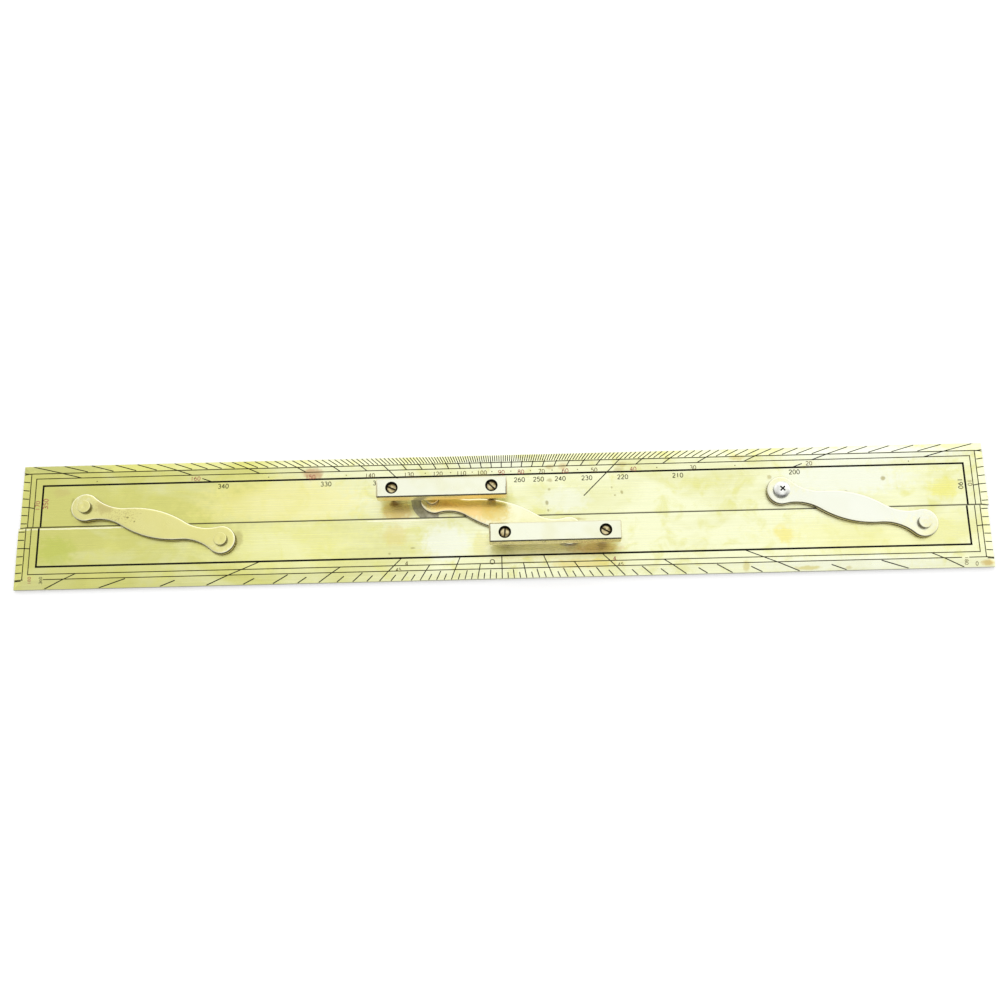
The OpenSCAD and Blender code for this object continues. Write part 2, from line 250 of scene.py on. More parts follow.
@dataclass(frozen=True)
class Finish:
    """A finish, which makes one material named for its stuff and how its surface was made."""

    name: str

    def build(self) -> Material:
        """Makes the material.

        Returns:
            A material with nothing in it but this finish.
        """
        material = bpy.data.materials.new(self.name)
        material.use_nodes = True
        material.node_tree.nodes.clear()
        add(material.node_tree, OUTPUT, {"Surface": self.shade(material.node_tree)})
        return material

    def shade(self, tree: Tree) -> Node:
        """Gives the shader of the finish."""
        raise NotImplementedError


@dataclass(frozen=True)
class BrushedBrass(Finish):
    """Rolled brass plate, brushed along its length and lacquered.

    To the eye: fine streaks along the rule, yellower and darker towards the left end, partly
    the lacquer's tone and partly painted light that grows to the right, soft clouds, marks
    and patches of painted light and shade below the lacquer, soiling and painted shade on the
    sawn upright edges, in the cut lines and along the seam, and a thin pale gloss over all.
    """

    # From olive to pale along the rule: partly the lacquer's tone, partly painted light
    olive: str = "#d0cf76"
    pale: str = "#eceec6"
    blotch: str = "#dad97c"
    streak: str = "#a8a65a"
    # Dark on upright faces, in the cut lines and by the seam: soiling and painted shade
    grime: str = "#3a3112"
    # Places along the rule between which the colour turns from yellow to pale, partly the
    # lacquer's tone and partly painted light, brighter to the right
    yellow_mm: Span = (-225.0, 0.0)
    # Soiling and painted shade of the gap along a seam edge: where the edge lies, between
    # which distances it fades, its share
    seam_y: float | None = None
    seam_mm: Span = (0.2, 0.5)
    seam_share: float = 0.8
    # Real brushing lines stand about 0.05 mm apart: drawn coarser, to show at all
    streak_mm: float = 0.55
    streak_long_mm: float = 48.0
    cloud_mm: float = 26.0
    cloud_stretch: float = 0.6
    blotch_mm: float = 9.0
    ragged_per_mm: float = 0.45
    # What each noise, or the tilt of the surface, turns into
    clouds: Ramp = (0.35, 0.65, -0.45, 0.2)
    blotches: Ramp = (0.48, 0.72, 0.0, 0.6)
    streaks: Ramp = (0.45, 0.75, 0.0, 0.13)
    upright: Ramp = (0.05, 0.5, 0.9, 0.0)
    rough: Ramp = (0.3, 0.75, 0.24, 0.36)
    brush_depth_mm: float = 0.02
    brush_strength: float = 0.06
    lacquer: float = 0.5
    lacquer_rough: float = 0.22
    stains: tuple[Stain, ...] = ()

    def shade(self, tree: Tree) -> Node:
        """Lays streaks, yellowing and painted light, marks and painted patches, soiling and painted
        shade over each other.

        Args:
            tree: The material's node tree.

        Returns:
            A metal whose colour, roughness and bump follow the brushing.
        """
        place = add(tree, COORDS).outputs["Object"]
        sizes = (self.streak_mm, self.streak_long_mm, self.cloud_mm)
        fine, long, wide = (1 / MM / size for size in sizes)
        brushed = add(tree, MAPPING, {"Vector": place, "Scale": (long, fine, fine)})
        grain = add(tree, NOISE, {"Vector": brushed, "Scale": 1.0, "Detail": 3.0, "Roughness": 0.6})
        drawn = add(tree, MAPPING, {"Vector": place,
                                    "Scale": (wide * self.cloud_stretch, wide, wide)})
        cloud = add(tree, NOISE, {"Vector": drawn, "Scale": 1.0, "Detail": 4.0, "Roughness": 0.55,
                                  "Distortion": 0.6})
        spots = add(tree, NOISE, {"Vector": place, "Scale": 1 / self.blotch_mm / MM, "Detail": 4.0,
                                  "Roughness": 0.6, "Distortion": 0.5})
        ragged = add(tree, NOISE, {"Vector": place, "Scale": self.ragged_per_mm / MM,
                                   "Detail": 3.0})
        x, y, _ = add(tree, SPLIT, [place]).outputs
        # Yellow to pale along the rule: the lacquer's tone and painted light
        left, right = (end * MM for end in self.yellow_mm)
        along = add(tree, RANGE, [x, left, right, 0.0, 1.0], **SOFT)
        drift = add(tree, RANGE, [cloud, *self.clouds])
        share = add(tree, MATH, [along, drift], operation="ADD", use_clamp=True)
        spotted = add(tree, RANGE, [spots, *self.blotches], **SOFT)
        dark = add(tree, RANGE, [grain, *self.streaks])
        colour = add(tree, MIX, {0: share, 6: linear(self.olive), 7: linear(self.pale)}, **RGBA)
        for share, tone in ((spotted, self.blotch), (dark, self.streak)):
            colour = add(tree, MIX, {0: share, 6: colour, 7: linear(tone)}, **RGBA)
        # Marks of wear, and patches of painted light and shade
        for stain_or_painted_light in self.stains:
            colour = stain_or_painted_light.lay(tree, place, ragged, colour)
        # Soiling and painted shade on upright faces, in the grooves and by the seam
        normal = add(tree, SPLIT, [add(tree, GEOMETRY).outputs["Normal"]])
        flat = add(tree, MATH, [normal.outputs["Z"]], operation="ABSOLUTE")
        dirt = add(tree, RANGE, [flat, *self.upright])
        if self.seam_y is not None:
            near, far = ((self.seam_y + off) * MM for off in self.seam_mm)
            seam = add(tree, RANGE, [y, near, far, self.seam_share, 0.0], **SOFT)
            dirt = add(tree, MATH, [dirt, seam], operation="MAXIMUM")
        colour = add(tree, MIX, {0: dirt, 6: colour, 7: linear(self.grime)}, **RGBA)
        bump = add(tree, BUMP, {"Height": grain, "Strength": self.brush_strength,
                                "Distance": self.brush_depth_mm * MM})
        rough = add(tree, RANGE, [grain, *self.rough])
        return add(tree, SHADER, {
            "Base Color": colour, "Metallic": 1.0, "Roughness": rough, "Normal": bump,
            "Coat Weight": self.lacquer, "Coat Roughness": self.lacquer_rough})


@dataclass(frozen=True)
class PolishedBrass(Finish):
    """Brass that was filed and polished by hand, or turned.

    To the eye: a soft and slightly wavy shine, pale edges that are partly worn by hands and
    partly painted highlight, upright sides in a colour of their own, on most pieces darker for
    oxide and painted shade and on the grips paler for painted light, on some pieces a painted
    dark line of shade along an eased edge, and an underside of its own colour, near black for
    oxide and painted shade on most pieces and pale for painted light on the grips.
    """

    bright: str = "#efeecb"
    warm: str = "#e8e6b4"
    # Colour of the upright sides: darker for oxide and painted shade, paler for painted light
    tarnish: str = "#6e5522"
    side_share: float = 0.85
    # Colour of the edges: wear and painted highlight where paler, painted shade where darker
    edge: str = "#f8f7e4"
    edge_share: float = 0.8
    # Colour of the underside: oxide and painted shade where dark, painted light where pale
    under: str = "#0e0a03"
    # Colour of a painted dark line of shade along an eased edge, and the heights between which
    # it sets in
    line: tuple[str, float, float] | None = None
    # Node, and the distances from its axis between which the rim darkens with painted shade
    rim: tuple[str, float, float] | None = None
    # Height below which all is painted shade, as in a slot, and how softly that sets in
    dark_below: float | None = None
    dark_soft: float = 0.05
    patch_mm: float = 12.0
    # Real polishing marks are about 0.03 mm wide: drawn as the waves that a buff leaves
    wave_mm: float = 5.0
    wave_depth_mm: float = 0.2
    wave_strength: float = 0.25
    ragged_per_mm: float = 0.6
    # What each noise, or the tilt of the surface, turns into. A level face has a tilt of one
    patches: Ramp = (0.38, 0.68, 0.0, 1.0)
    waves: Span = (0.3, 0.75)
    rough: Span = (0.23, 0.28)
    worn_tilt: Span = (0.86, 0.98)
    upright: Span = (0.1, 0.5)
    line_tilt: Ramp = (0.5, 0.78, 0.92, 0.0)
    under_tilt: Ramp = (-0.7, -0.3, 1.0, 0.0)
    stains: tuple[Stain, ...] = ()

    def shade(self, tree: Tree) -> Node:
        """Lays wear and marks, edges worn pale and painted with highlight, and sides, edge lines
        and undersides painted with shade and light, over each other.

        Args:
            tree: The material's node tree.

        Returns:
            A metal that is bright on its faces and dark on its sides.
        """
        place = add(tree, COORDS).outputs["Object"]
        height = add(tree, SPLIT, [place]).outputs["Z"]
        tilt = add(tree, SPLIT, [add(tree, GEOMETRY).outputs["Normal"]]).outputs["Z"]
        patch = add(tree, NOISE, {"Vector": place, "Scale": 1 / self.patch_mm / MM, "Detail": 2.0,
                                  "Roughness": 0.5})
        wave = add(tree, NOISE, {"Vector": place, "Scale": 1 / self.wave_mm / MM, "Detail": 2.0,
                                 "Distortion": 0.4})
        ragged = add(tree, NOISE, {"Vector": place, "Scale": self.ragged_per_mm / MM,
                                   "Detail": 3.0})
        share = add(tree, RANGE, [patch, *self.patches], **SOFT)
        colour = add(tree, MIX, {0: share, 6: linear(self.bright), 7: linear(self.warm)}, **RGBA)
        # Patina, marks, and patches of painted sheen
        for stain_or_painted_light in self.stains:
            colour = stain_or_painted_light.lay(tree, place, ragged, colour)
        # Edges worn pale and painted highlight; sides darker for oxide and painted shade, paler for
        # painted light
        worn = add(tree, RANGE, [tilt, *self.worn_tilt, self.edge_share, 0.0])
        side = add(tree, RANGE, [tilt, *self.upright, self.side_share, 0.0])
        # Painted shade in a slot, and round the rim of a head sunk in a counterbore
        if self.dark_below is not None:
            low, high = ((self.dark_below - soft) * MM for soft in (self.dark_soft, 0.0))
            deep = add(tree, RANGE, [height, low, high, self.side_share, 0.0])
            side = add(tree, MATH, [side, deep], operation="MAXIMUM")
        if self.rim:
            node, inner, outer = self.rim
            distance = off_axis(tree, place, node)
            rim = add(tree, RANGE, [distance, inner, outer, 0.0, self.side_share])
            side = add(tree, MATH, [side, rim], operation="MAXIMUM")
        layers = [(worn, self.edge), (side, self.tarnish)]
        # A painted dark line of shade along an eased edge
        if self.line:
            tone, low, high = self.line
            steep = add(tree, RANGE, [tilt, *self.line_tilt])
            layers.append((add(tree, RANGE, [height, low * MM, high * MM, 0.0, steep]), tone))
        # The underside: oxide and painted shade where dark, painted light where pale
        layers.append((add(tree, RANGE, [tilt, *self.under_tilt]), self.under))
        for share, tone in layers:
            colour = add(tree, MIX, {0: share, 6: colour, 7: linear(tone)}, **RGBA)
        bump = add(tree, BUMP, {"Height": wave, "Strength": self.wave_strength,
                                "Distance": self.wave_depth_mm * MM})
        rough = add(tree, RANGE, [wave, *self.waves, *self.rough])
        return add(tree, SHADER, {"Base Color": colour, "Metallic": 1.0, "Roughness": rough,
                                  "Normal": bump})


@dataclass(frozen=True)
class PlainSteel(Finish):
    """Steel with a thin zinc plating, or worn bare.

    To the eye: a cool grey with soft clouds where hands have dulled it, and near black on
    upright sides and in the recess of a screw, painted shade.
    """

    bright: str = "#f6f7f3"
    dull: str = "#dcddd5"
    # Painted shade on upright sides and in a recess
    dirt: str = "#15130c"
    rough: Span = (0.2, 0.36)
    cloud_mm: float = 2.6
    clouds: Span = (0.35, 0.65)
    upright: Ramp = (0.1, 0.45, 0.8, 0.0)
    # Node, reach of its recess from the axis and radius of its crown
    recess: tuple[str, float, float] | None = None
    # Depths below the crown between which painted shade fills the recess, and how softly it ends
    dirt_depth: Span = (0.3, 0.08)
    dirt_soft: float = 0.2

    def shade(self, tree: Tree) -> Node:
        """Lays clouds and dirt over the grey.

        Args:
            tree: The material's node tree.

        Returns:
            A grey metal with cloudy colour and roughness.
        """
        place = add(tree, COORDS).outputs["Object"]
        cloud = add(tree, NOISE, {"Vector": place, "Scale": 1 / self.cloud_mm / MM, "Detail": 5.0,
                                  "Roughness": 0.65})
        share = add(tree, RANGE, [cloud, *self.clouds, 0.0, 1.0])
        colour = add(tree, MIX, {0: share, 6: linear(self.bright), 7: linear(self.dull)}, **RGBA)
        tilt = add(tree, SPLIT, [add(tree, GEOMETRY).outputs["Normal"]]).outputs["Z"]
        # Painted shade on upright sides and in the recess
        dirt = add(tree, RANGE, [tilt, *self.upright])
        if self.recess:
            dirt = add(tree, MATH, [dirt, self.filled(tree, place)], operation="MAXIMUM")
        colour = add(tree, MIX, {0: dirt, 6: colour, 7: linear(self.dirt)}, **RGBA)
        rough = add(tree, RANGE, [cloud, *self.clouds, *self.rough])
        return add(tree, SHADER, {"Base Color": colour, "Metallic": 1.0, "Roughness": rough})

    def filled(self, tree: Tree, place: Socket) -> Node:
        """Gives the share of painted shade: one below the crown of the head, near its axis.

        The crown falls by the square of the distance from the axis over twice its radius.

        Args:
            tree: The material's node tree.
            place: The object's coordinates.

        Returns:
            A share from zero to one.
        """
        node, reach, crown_r = self.recess
        distance = off_axis(tree, place, node)
        square = add(tree, MATH, [distance, distance], operation="MULTIPLY")
        z = add(tree, SPLIT, [place]).outputs["Z"]
        height = add(tree, MATH, [z, 1 / MM], operation="MULTIPLY")
        level = add(tree, MATH, [square, 0.5 / crown_r, height], operation="MULTIPLY_ADD")
        low, high = (seat(node).high[2] - depth for depth in self.dirt_depth)
        deep = add(tree, RANGE, [level, low, high, 1.0, 0.0])
        near = add(tree, RANGE, [distance, reach, reach + self.dirt_soft, 1.0, 0.0])
        return add(tree, MATH, [deep, near], operation="MULTIPLY")


@dataclass(frozen=True)
class EngraversWax(Finish):
    """Wax rubbed into the engraved lines.

    To the eye: matt, and paler in places where it has worn thin over the brass.
    """

    full: str
    thin: str
    wear: Span = (0.45, 0.8)
    rough: Ramp = (0.3, 0.7, 0.5, 0.75)
    gloss: float = 0.12
    patch_mm: float = 1.4
    stains: tuple[Stain, ...] = ()

    def shade(self, tree: Tree) -> Node:
        """Lays the worn patches over the wax.

        Args:
            tree: The material's node tree.

        Returns:
            A matt wax that turns to its thin colour in patches.
        """
        place = add(tree, COORDS).outputs["Object"]
        patch = add(tree, NOISE, {"Vector": place, "Scale": 1 / self.patch_mm / MM, "Detail": 3.0,
                                  "Roughness": 0.7})
        share = add(tree, RANGE, [patch, *self.wear, 0.0, 1.0])
        colour = add(tree, MIX, {0: share, 6: linear(self.full), 7: linear(self.thin)}, **RGBA)
        for stain_or_painted_light in self.stains:
            colour = stain_or_painted_light.lay(tree, place, patch, colour)
        rough = add(tree, RANGE, [patch, *self.rough])
        return add(tree, SHADER, {"Base Color": colour, "Roughness": rough,
                                  "Specular IOR Level": self.gloss})


@dataclass(frozen=True)
class WhitePaper(Finish):
    """Plain white paper, pressed smooth.

    To the eye: an even matt white that keeps the soft shadow of what lies on it. It glows a
    little where it is seen or mirrored, so that it shows as white.
    """

    tone: str = "#ececec"
    glow: float = 0.3

    def shade(self, tree: Tree) -> Node:
        """Adds the glow to the matt paper.

        Args:
            tree: The material's node tree.

        Returns:
            A matt white that glows for the camera and for mirrors.
        """
        paths = add(tree, "ShaderNodeLightPath").outputs
        seen = paths["Is Camera Ray"]
        for ray in ("Is Glossy Ray", "Is Transmission Ray"):
            seen = add(tree, MATH, [seen, paths[ray]], operation="MAXIMUM")
        strength = add(tree, MATH, [seen, self.glow], operation="MULTIPLY")
        glow = add(tree, "ShaderNodeEmission", {"Color": WHITE, "Strength": strength})
        paper = add(tree, "ShaderNodeBsdfDiffuse", {"Color": linear(self.tone)})
        return add(tree, "ShaderNodeAddShader", [paper, glow])


# Surfaces


def put(name: str, data: bpy.types.ID) -> bpy.types.Object:
    """Puts an object into the scene.

    Args:
        name: Name of the object.
        data: Its mesh, lamp or camera.

    Returns:
        The object, at the origin.
    """
    thing = bpy.data.objects.new(name, data)
    bpy.context.scene.collection.objects.link(thing)
    return thing


@dataclass
class Surface:
    """Points, quads of point numbers, and for each quad the number of its finish."""

    points: Array
    quads: Array
    marks: Array

    @classmethod
    def grid(cls, points: Array, mark: int = 0, kept: Array | None = None) -> "Surface":
        """Joins a grid of points into quads.

        Args:
            points: Rows by columns by three.
            mark: Number of the quads' finish.
            kept: Which columns of cells are kept, or all of them.

        Returns:
            The surface of the grid.
        """
        rows, columns = points.shape[:2]
        first = np.arange(rows - 1)[:, None] * columns + np.arange(columns - 1)[None, :]
        first = first if kept is None else first[:, kept]
        corners = [first, first + 1, first + columns + 1, first + columns]
        quads = np.stack(corners, -1).reshape(-1, 4)
        return cls(points.reshape(-1, 3), quads, np.full(len(quads), mark))

    @classmethod
    def join(cls, parts: list["Surface"]) -> "Surface":
        """Puts several surfaces into one.

        Args:
            parts: The surfaces.

        Returns:
            One surface with the points and quads of all.
        """
        starts = np.cumsum([0] + [len(part.points) for part in parts[:-1]])
        return cls(np.concatenate([part.points for part in parts]),
                   np.concatenate([part.quads + start for part, start in zip(parts, starts)]),
                   np.concatenate([part.marks for part in parts]))

    def piece(self, name: str, finishes: tuple[Material, ...],
              crease_deg: float = 32.0) -> bpy.types.Object:
        """Makes a closed mesh, welded where points meet, with its place in the mesh.

        A quad with two corners in one place becomes a triangle.

        Args:
            name: Name of the piece.
            finishes: The piece's finishes, in the order of the marks.
            crease_deg: Edges sharper than this angle stay sharp.

        Returns:
            The object, at the origin.
        """
        steps = np.round(self.points / WELD).astype(np.int64)
        keys, index = np.unique(steps, axis=0, return_inverse=True)
        quads = index.reshape(-1)[self.quads]
        kept = quads != np.roll(quads, -1, axis=1)
        sides = kept.sum(axis=1)
        four, three = sides == 4, sides == 3
        faces = quads[four].tolist() + quads[three][kept[three]].reshape(-1, 3).tolist()
        marks = np.concatenate([self.marks[four], self.marks[three]]).astype(np.int32)
        mesh = bpy.data.meshes.new(name)
        mesh.from_pydata((keys * WELD * MM).tolist(), [], faces)
        work = bmesh.new()
        work.from_mesh(mesh)
        bmesh.ops.recalc_face_normals(work, faces=work.faces)
        work.to_mesh(mesh)
        work.free()
        for material in finishes:
            mesh.materials.append(material)
        mesh.polygons.foreach_set("material_index", marks)
        mesh.polygons.foreach_set("use_smooth", np.ones(len(faces), bool))
        mesh.set_sharp_from_angle(angle=math.radians(crease_deg))
        return put(name, mesh)


def arc(cx: float, cy: float, rx: float, ry: float, a: Array) -> Array:
    """Gives points of an ellipse at angles a: (cx + rx cos a, cy + ry sin a)."""
    return np.stack([cx + rx * np.cos(a), cy + ry * np.sin(a)], -1)


def turned(radii: Array, heights: Array, axis: Array, steps: int = 64) -> Surface:
    """Turns a profile about an upright axis: point = (x + r cos a, y + r sin a, h).

    Args:
        radii: Distance of each profile point from the axis, zero at both ends.
        heights: Height of each profile point.
        axis: Place of the axis, x and y first.
        steps: Number of steps round the axis.

    Returns:
        A surface that closes on itself.
    """
    a = np.append(np.arange(steps) * (2 * np.pi / steps), 0.0)[None, :]
    r = np.asarray(radii)[:, None]
    h = np.broadcast_to(np.asarray(heights)[:, None], (len(radii), steps + 1))
    return Surface.grid(np.stack([axis[0] + r * np.cos(a), axis[1] + r * np.sin(a), h], -1))


def rounded(centre_r: float, centre_h: float, radius: float, start_deg: float, end_deg: float,
            steps: int = 5) -> tuple[Array, Array]:
    """Gives the distances from the axis and the heights of an arc of a profile."""
    a = np.radians(np.linspace(start_deg, end_deg, steps + 1))
    return tuple(arc(centre_r, centre_h, radius, radius, a).T)


def turn_by(degrees: float) -> Array:
    """Gives the matrix that turns rows of x and y by an angle."""
    t = math.radians(degrees)
    return np.array([[math.cos(t), math.sin(t)], [-math.sin(t), math.cos(t)]])


# Pieces that stand for nodes


@dataclass
class Part:
    """A piece that stands for a node, lies where it lies and rides on its body."""

    node: str

    def surface(self) -> Surface:
        """Works out the piece's surface, in place."""
        raise NotImplementedError

    def dress(self, suffix: str, slot: str, *finishes: Material) -> None:
        """Makes the piece and says what it stands for.

        Args:
            suffix: What the piece's name adds to the node's.
            slot: The record's material slot, which is not used.
            finishes: The piece's finishes, in the order of its marks.
        """
        piece = self.surface().piece(f"{self.node}_{suffix}", finishes)
        body = frame["nodes"][self.node]["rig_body"]
        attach(piece, body)
        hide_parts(self.node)
        log.info("%s stands for %s and rides on %s", piece.name, self.node, body)


def cover(node: str, finish: Material) -> None:
    """Gives a node that keeps its own shape its finish.

    Args:
        node: Name of the node.
        finish: The finish.
    """
    for slot in frame["nodes"][node].material_slots:
        slot.material = finish
    log.info("%s keeps its own shape", node)


@dataclass(kw_only=True)
class EasedPlate(Part):
    """A flat bar, the same on both sides of its long axis, with eased edges.

    Its half outline runs from the right nose to the left nose. The rim is that outline
    carried up a profile of insets and heights. Each face is a strip from the outline to the
    axis, and goes round the bores that lie on the axis.
    """

    top_ease: float
    top_drop: float
    top_steps: int
    foot_ease: float
    bore_r: float
    foot_steps: int = 5
    # A bore narrower than this ends on the axis
    bore_end: float = 1e-4
    bore_depth: float | None = None

    @property
    def centre(self) -> Array:
        """Gives the place of the bar's middle."""
        return seat(self.node).centre[:2]

    @property
    def turn_deg(self) -> float:
        """Gives the angle from the X axis to the bar's long axis."""
        return 0.0

    @property
    def bores(self) -> tuple[float, float]:
        """Gives the places of the two bores along the bar's axis."""
        raise NotImplementedError

    def half_edge(self, inset: float) -> Array:
        """Gives the outline from the right nose to the left nose, moved inwards."""
        raise NotImplementedError

    def profile(self) -> tuple[Array, Array]:
        """Gives the rim's profile: a quarter round, an upright line and a quarter of an ellipse.

        With two steps the quarter of an ellipse is a flat chamfer.

        Returns:
            Insets and heights, from the lower face to the upper one.
        """
        steps = (self.foot_steps, self.top_steps)
        a, b = (np.radians(np.linspace(0.0, 90.0, count)) for count in steps)
        low, high = seat(self.node).low[2], seat(self.node).high[2]
        insets = [self.foot_ease * (1 - np.sin(a)), self.top_ease * (1 - np.cos(b))]
        heights = [low + self.foot_ease * (1 - np.cos(a)), high - self.top_drop * (1 - np.sin(b))]
        return np.concatenate(insets), np.concatenate(heights)

    def bore_half(self, x: Array) -> Array:
        """Gives half the bore's width along the axis: the root of r squared less (x - c) squared.

        Args:
            x: Places along the axis.

        Returns:
            Half the width at each place, zero outside the bores.
        """
        squares = [np.clip(self.bore_r ** 2 - (x - c) ** 2, 0.0, None) for c in self.bores]
        half = np.sqrt(np.max(squares, axis=0))
        return np.where(half < self.bore_end, 0.0, half)

    def surface(self) -> Surface:
        """Works out the whole plate: rim, faces and bores on both sides of the axis.

        Returns:
            A closed surface, in place, with mark 1 on blind bores.
        """
        insets, heights = self.profile()
        rim = np.stack([self.half_edge(inset) for inset in insets])
        level = np.broadcast_to(heights[:, None], rim.shape[:2])
        x, low, high = rim[-1, :, 0], heights[0], heights[-1]
        hole = self.bore_half(x)
        blind = self.bore_depth is not None
        floor = high - self.bore_depth if blind else low
        bored = (hole[:-1] > 0) | (hole[1:] > 0)
        under = np.zeros(len(x)) if blind else hole
        patches, ends = [], []
        for side in (1.0, -1.0):
            top, end = (np.stack([x, side * hole, np.full(len(x), z)], -1) for z in (high, floor))
            ends.append(end)
            patches += [Surface.grid(np.stack([rim[..., 0], side * rim[..., 1], level], -1)),
                        self.strip(x, side * hole, rim[-1], side, high),
                        self.strip(rim[0, :, 0], side * under, rim[0], side, low),
                        Surface.grid(np.stack([top, end]), int(blind), bored)]
        if blind:
            patches.append(Surface.grid(np.stack(ends), 1, bored))
        whole = Surface.join(patches)
        whole.points[:, :2] = whole.points[:, :2] @ turn_by(self.turn_deg) + self.centre
        return whole

    def strip(self, x: Array, inner: Array, outline: Array, side: float, z: float) -> Surface:
        """Gives one half of a face.

        Args:
            x: Places along the axis at which the inner line runs.
            inner: How far the inner line, the axis or a bore, stands from the axis.
            outline: The half outline.
            side: Which side of the axis, 1 or -1.
            z: Height of the face.

        Returns:
            A strip from the inner line to the outline.
        """
        level = np.full(len(x), z)
        return Surface.grid(np.stack([
            np.stack([x, inner, level], -1),
            np.stack([outline[:, 0], side * outline[:, 1], level], -1)]))


@dataclass(kw_only=True)
class Link(EasedPlate):
    """A link: a swell, two necks and two round ends, arcs that run smoothly into each other.

    The round ends are centred a shift inside the pivots.
    """

    upper_pivot: str
    lower_pivot: str
    end_shift: float
    top_ease: float = 1.5
    top_drop: float = 0.7
    top_steps: int = 9
    foot_ease: float = 0.15
    bore_r: float = 2.05
    end_r: float = 6.7
    half_neck: float = 3.5
    half_middle: float = 6.8
    neck_from_pivot: float = 12.9
    # Points along the arc of an end, of a neck and of half the swell
    arc_points: tuple[int, int, int] = (40, 20, 16)

    @property
    def reach(self) -> Array:
        """Gives the way from the upper pivot to the lower one."""
        return (seat(self.lower_pivot).centre - seat(self.upper_pivot).centre)[:2]

    @property
    def centre(self) -> Array:
        """Gives the place halfway between the pivots."""
        return seat(self.upper_pivot).centre[:2] + self.reach / 2

    @property
    def turn_deg(self) -> float:
        """Gives the link's swing when the rule is closed."""
        return math.degrees(math.atan2(self.reach[1], self.reach[0]))

    @property
    def half(self) -> float:
        """Gives half the distance between the pivots."""
        return float(np.linalg.norm(self.reach)) / 2

    @property
    def bores(self) -> tuple[float, float]:
        """Gives the places of the two pivots along the link."""
        return (-self.half, self.half)

    def half_edge(self, inset: float) -> Array:
        """Gives the outline, moved inwards by changing each arc's radius about its own centre.

        Args:
            inset: How far the outline moves in.

        Returns:
            Points from the right nose to the left nose.
        """
        neck_x = self.half - self.neck_from_pivot
        swell = self.half_middle - self.half_neck
        end_x = self.half - self.end_shift
        squares = (end_x - neck_x) ** 2 + self.half_neck ** 2 - self.end_r ** 2
        neck_r = squares / (2 * (self.end_r - self.half_neck))
        swell_r = (neck_x ** 2 + swell ** 2) / (2 * swell) - neck_r
        swell_y = self.half_middle - swell_r
        neck_y = self.half_neck + neck_r
        swell_end = math.atan2(neck_y - swell_y, neck_x)
        neck_end = math.atan2(-neck_y, end_x - neck_x)
        end_n, neck_n, swell_n = self.arc_points
        arcs = (
            (end_x, 0.0, self.end_r - inset, np.linspace(0.0, neck_end + math.pi, end_n)),
            (neck_x, neck_y, neck_r + inset,
             np.linspace(neck_end, swell_end - math.pi, neck_n)[1:]),
            (0.0, swell_y, swell_r - inset, np.linspace(swell_end, math.pi / 2, swell_n)[1:]))
        quarter = np.concatenate([arc(x, y, r, r, a) for x, y, r, a in arcs])
        quarter[0, 1] = 0.0
        quarter[-1, 0] = 0.0
        return np.concatenate([quarter, quarter[-2::-1] * (-1.0, 1.0)])


@dataclass(kw_only=True)
class GripBar(EasedPlate):
    """A grip bar: a rectangle with round upright corners and two blind counterbores."""

    left_pillar: str
    right_pillar: str
    top_ease: float = 0.55
    top_drop: float = 0.55
    top_steps: int = 2
    foot_ease: float = 0.2
    bore_r: float = 2.9
    bore_depth: float | None = 3.0
    corner_r: float = 0.8
    corner_points: int = 9
    bore_points: int = 33

    @property
    def bores(self) -> tuple[float, float]:
        """Gives the places of the pillars along the bar."""
        left, right = (seat(pillar).centre[0] for pillar in (self.left_pillar, self.right_pillar))
        return (float(left - self.centre[0]), float(right - self.centre[0]))

    def half_edge(self, inset: float) -> Array:
        """Gives the outline: half an end, a round corner, the long side and the same again.

        Args:
            inset: How far the outline moves in.

        Returns:
            Points from the right nose to the left nose.
        """
        half, half_width, _ = seat(self.node).half
        a = np.radians(np.linspace(0.0, 90.0, self.corner_points))
        r = self.corner_r - inset
        corner = arc(half - self.corner_r, half_width - self.corner_r, r, r, a)
        right = np.concatenate([[[half - inset, 0.0]], corner])
        round_bore = self.bore_r * np.cos(np.radians(np.linspace(0.0, 180.0, self.bore_points)))
        run_x = np.sort(np.concatenate([c + round_bore for c in self.bores]))[::-1]
        run = np.stack([run_x, np.full(len(run_x), half_width - inset)], -1)
        return np.concatenate([right, run, right[::-1] * (-1.0, 1.0)])


@dataclass
class Pin(Part):
    """A turned pivot pin: a riveted spigot, a shank and a flat head with an eased rim."""

    spigot_r: float = 1.5
    shank_r: float = 2.0
    shank_low: float = 3.0
    head_h: float = 2.0
    rim: float = 0.35
    rim_deg: float = 80.0
    dish: float = 0.16
    # How far out the raised ring stands, as a share, and how high above the rim's end
    ring: float = 0.6
    ring_rise: float = 0.008
    top_points: int = 11

    def surface(self) -> Surface:
        """Turns the pin's profile, the head's top a shallow dish inside a raised ring.

        From the ring to the axis, at a share s of the way out, the top lies the dish's depth
        times (s - ring) squared over ring squared below the ring.

        Returns:
            A closed surface, in place.
        """
        box = seat(self.node)
        head_r, top = box.half[0], box.high[2]
        head_low = top - self.head_h
        rim_r, rim_h = rounded(head_r - self.rim, top - self.rim, self.rim, 0.0, self.rim_deg)
        share = np.linspace(1.0, 0.0, self.top_points)[1:]
        hollow = ((share - self.ring) / self.ring) ** 2 * (share < self.ring)
        top_h = np.minimum(top, rim_h[-1] + self.ring_rise) - self.dish * hollow
        foot_r = [0.0, self.spigot_r, self.spigot_r, self.shank_r, self.shank_r, head_r]
        foot_h = [0.0, 0.0, self.shank_low, self.shank_low, head_low, head_low]
        return turned(np.concatenate([foot_r, rim_r, rim_r[-1] * share]),
                      np.concatenate([foot_h, rim_h, top_h]), box.centre)


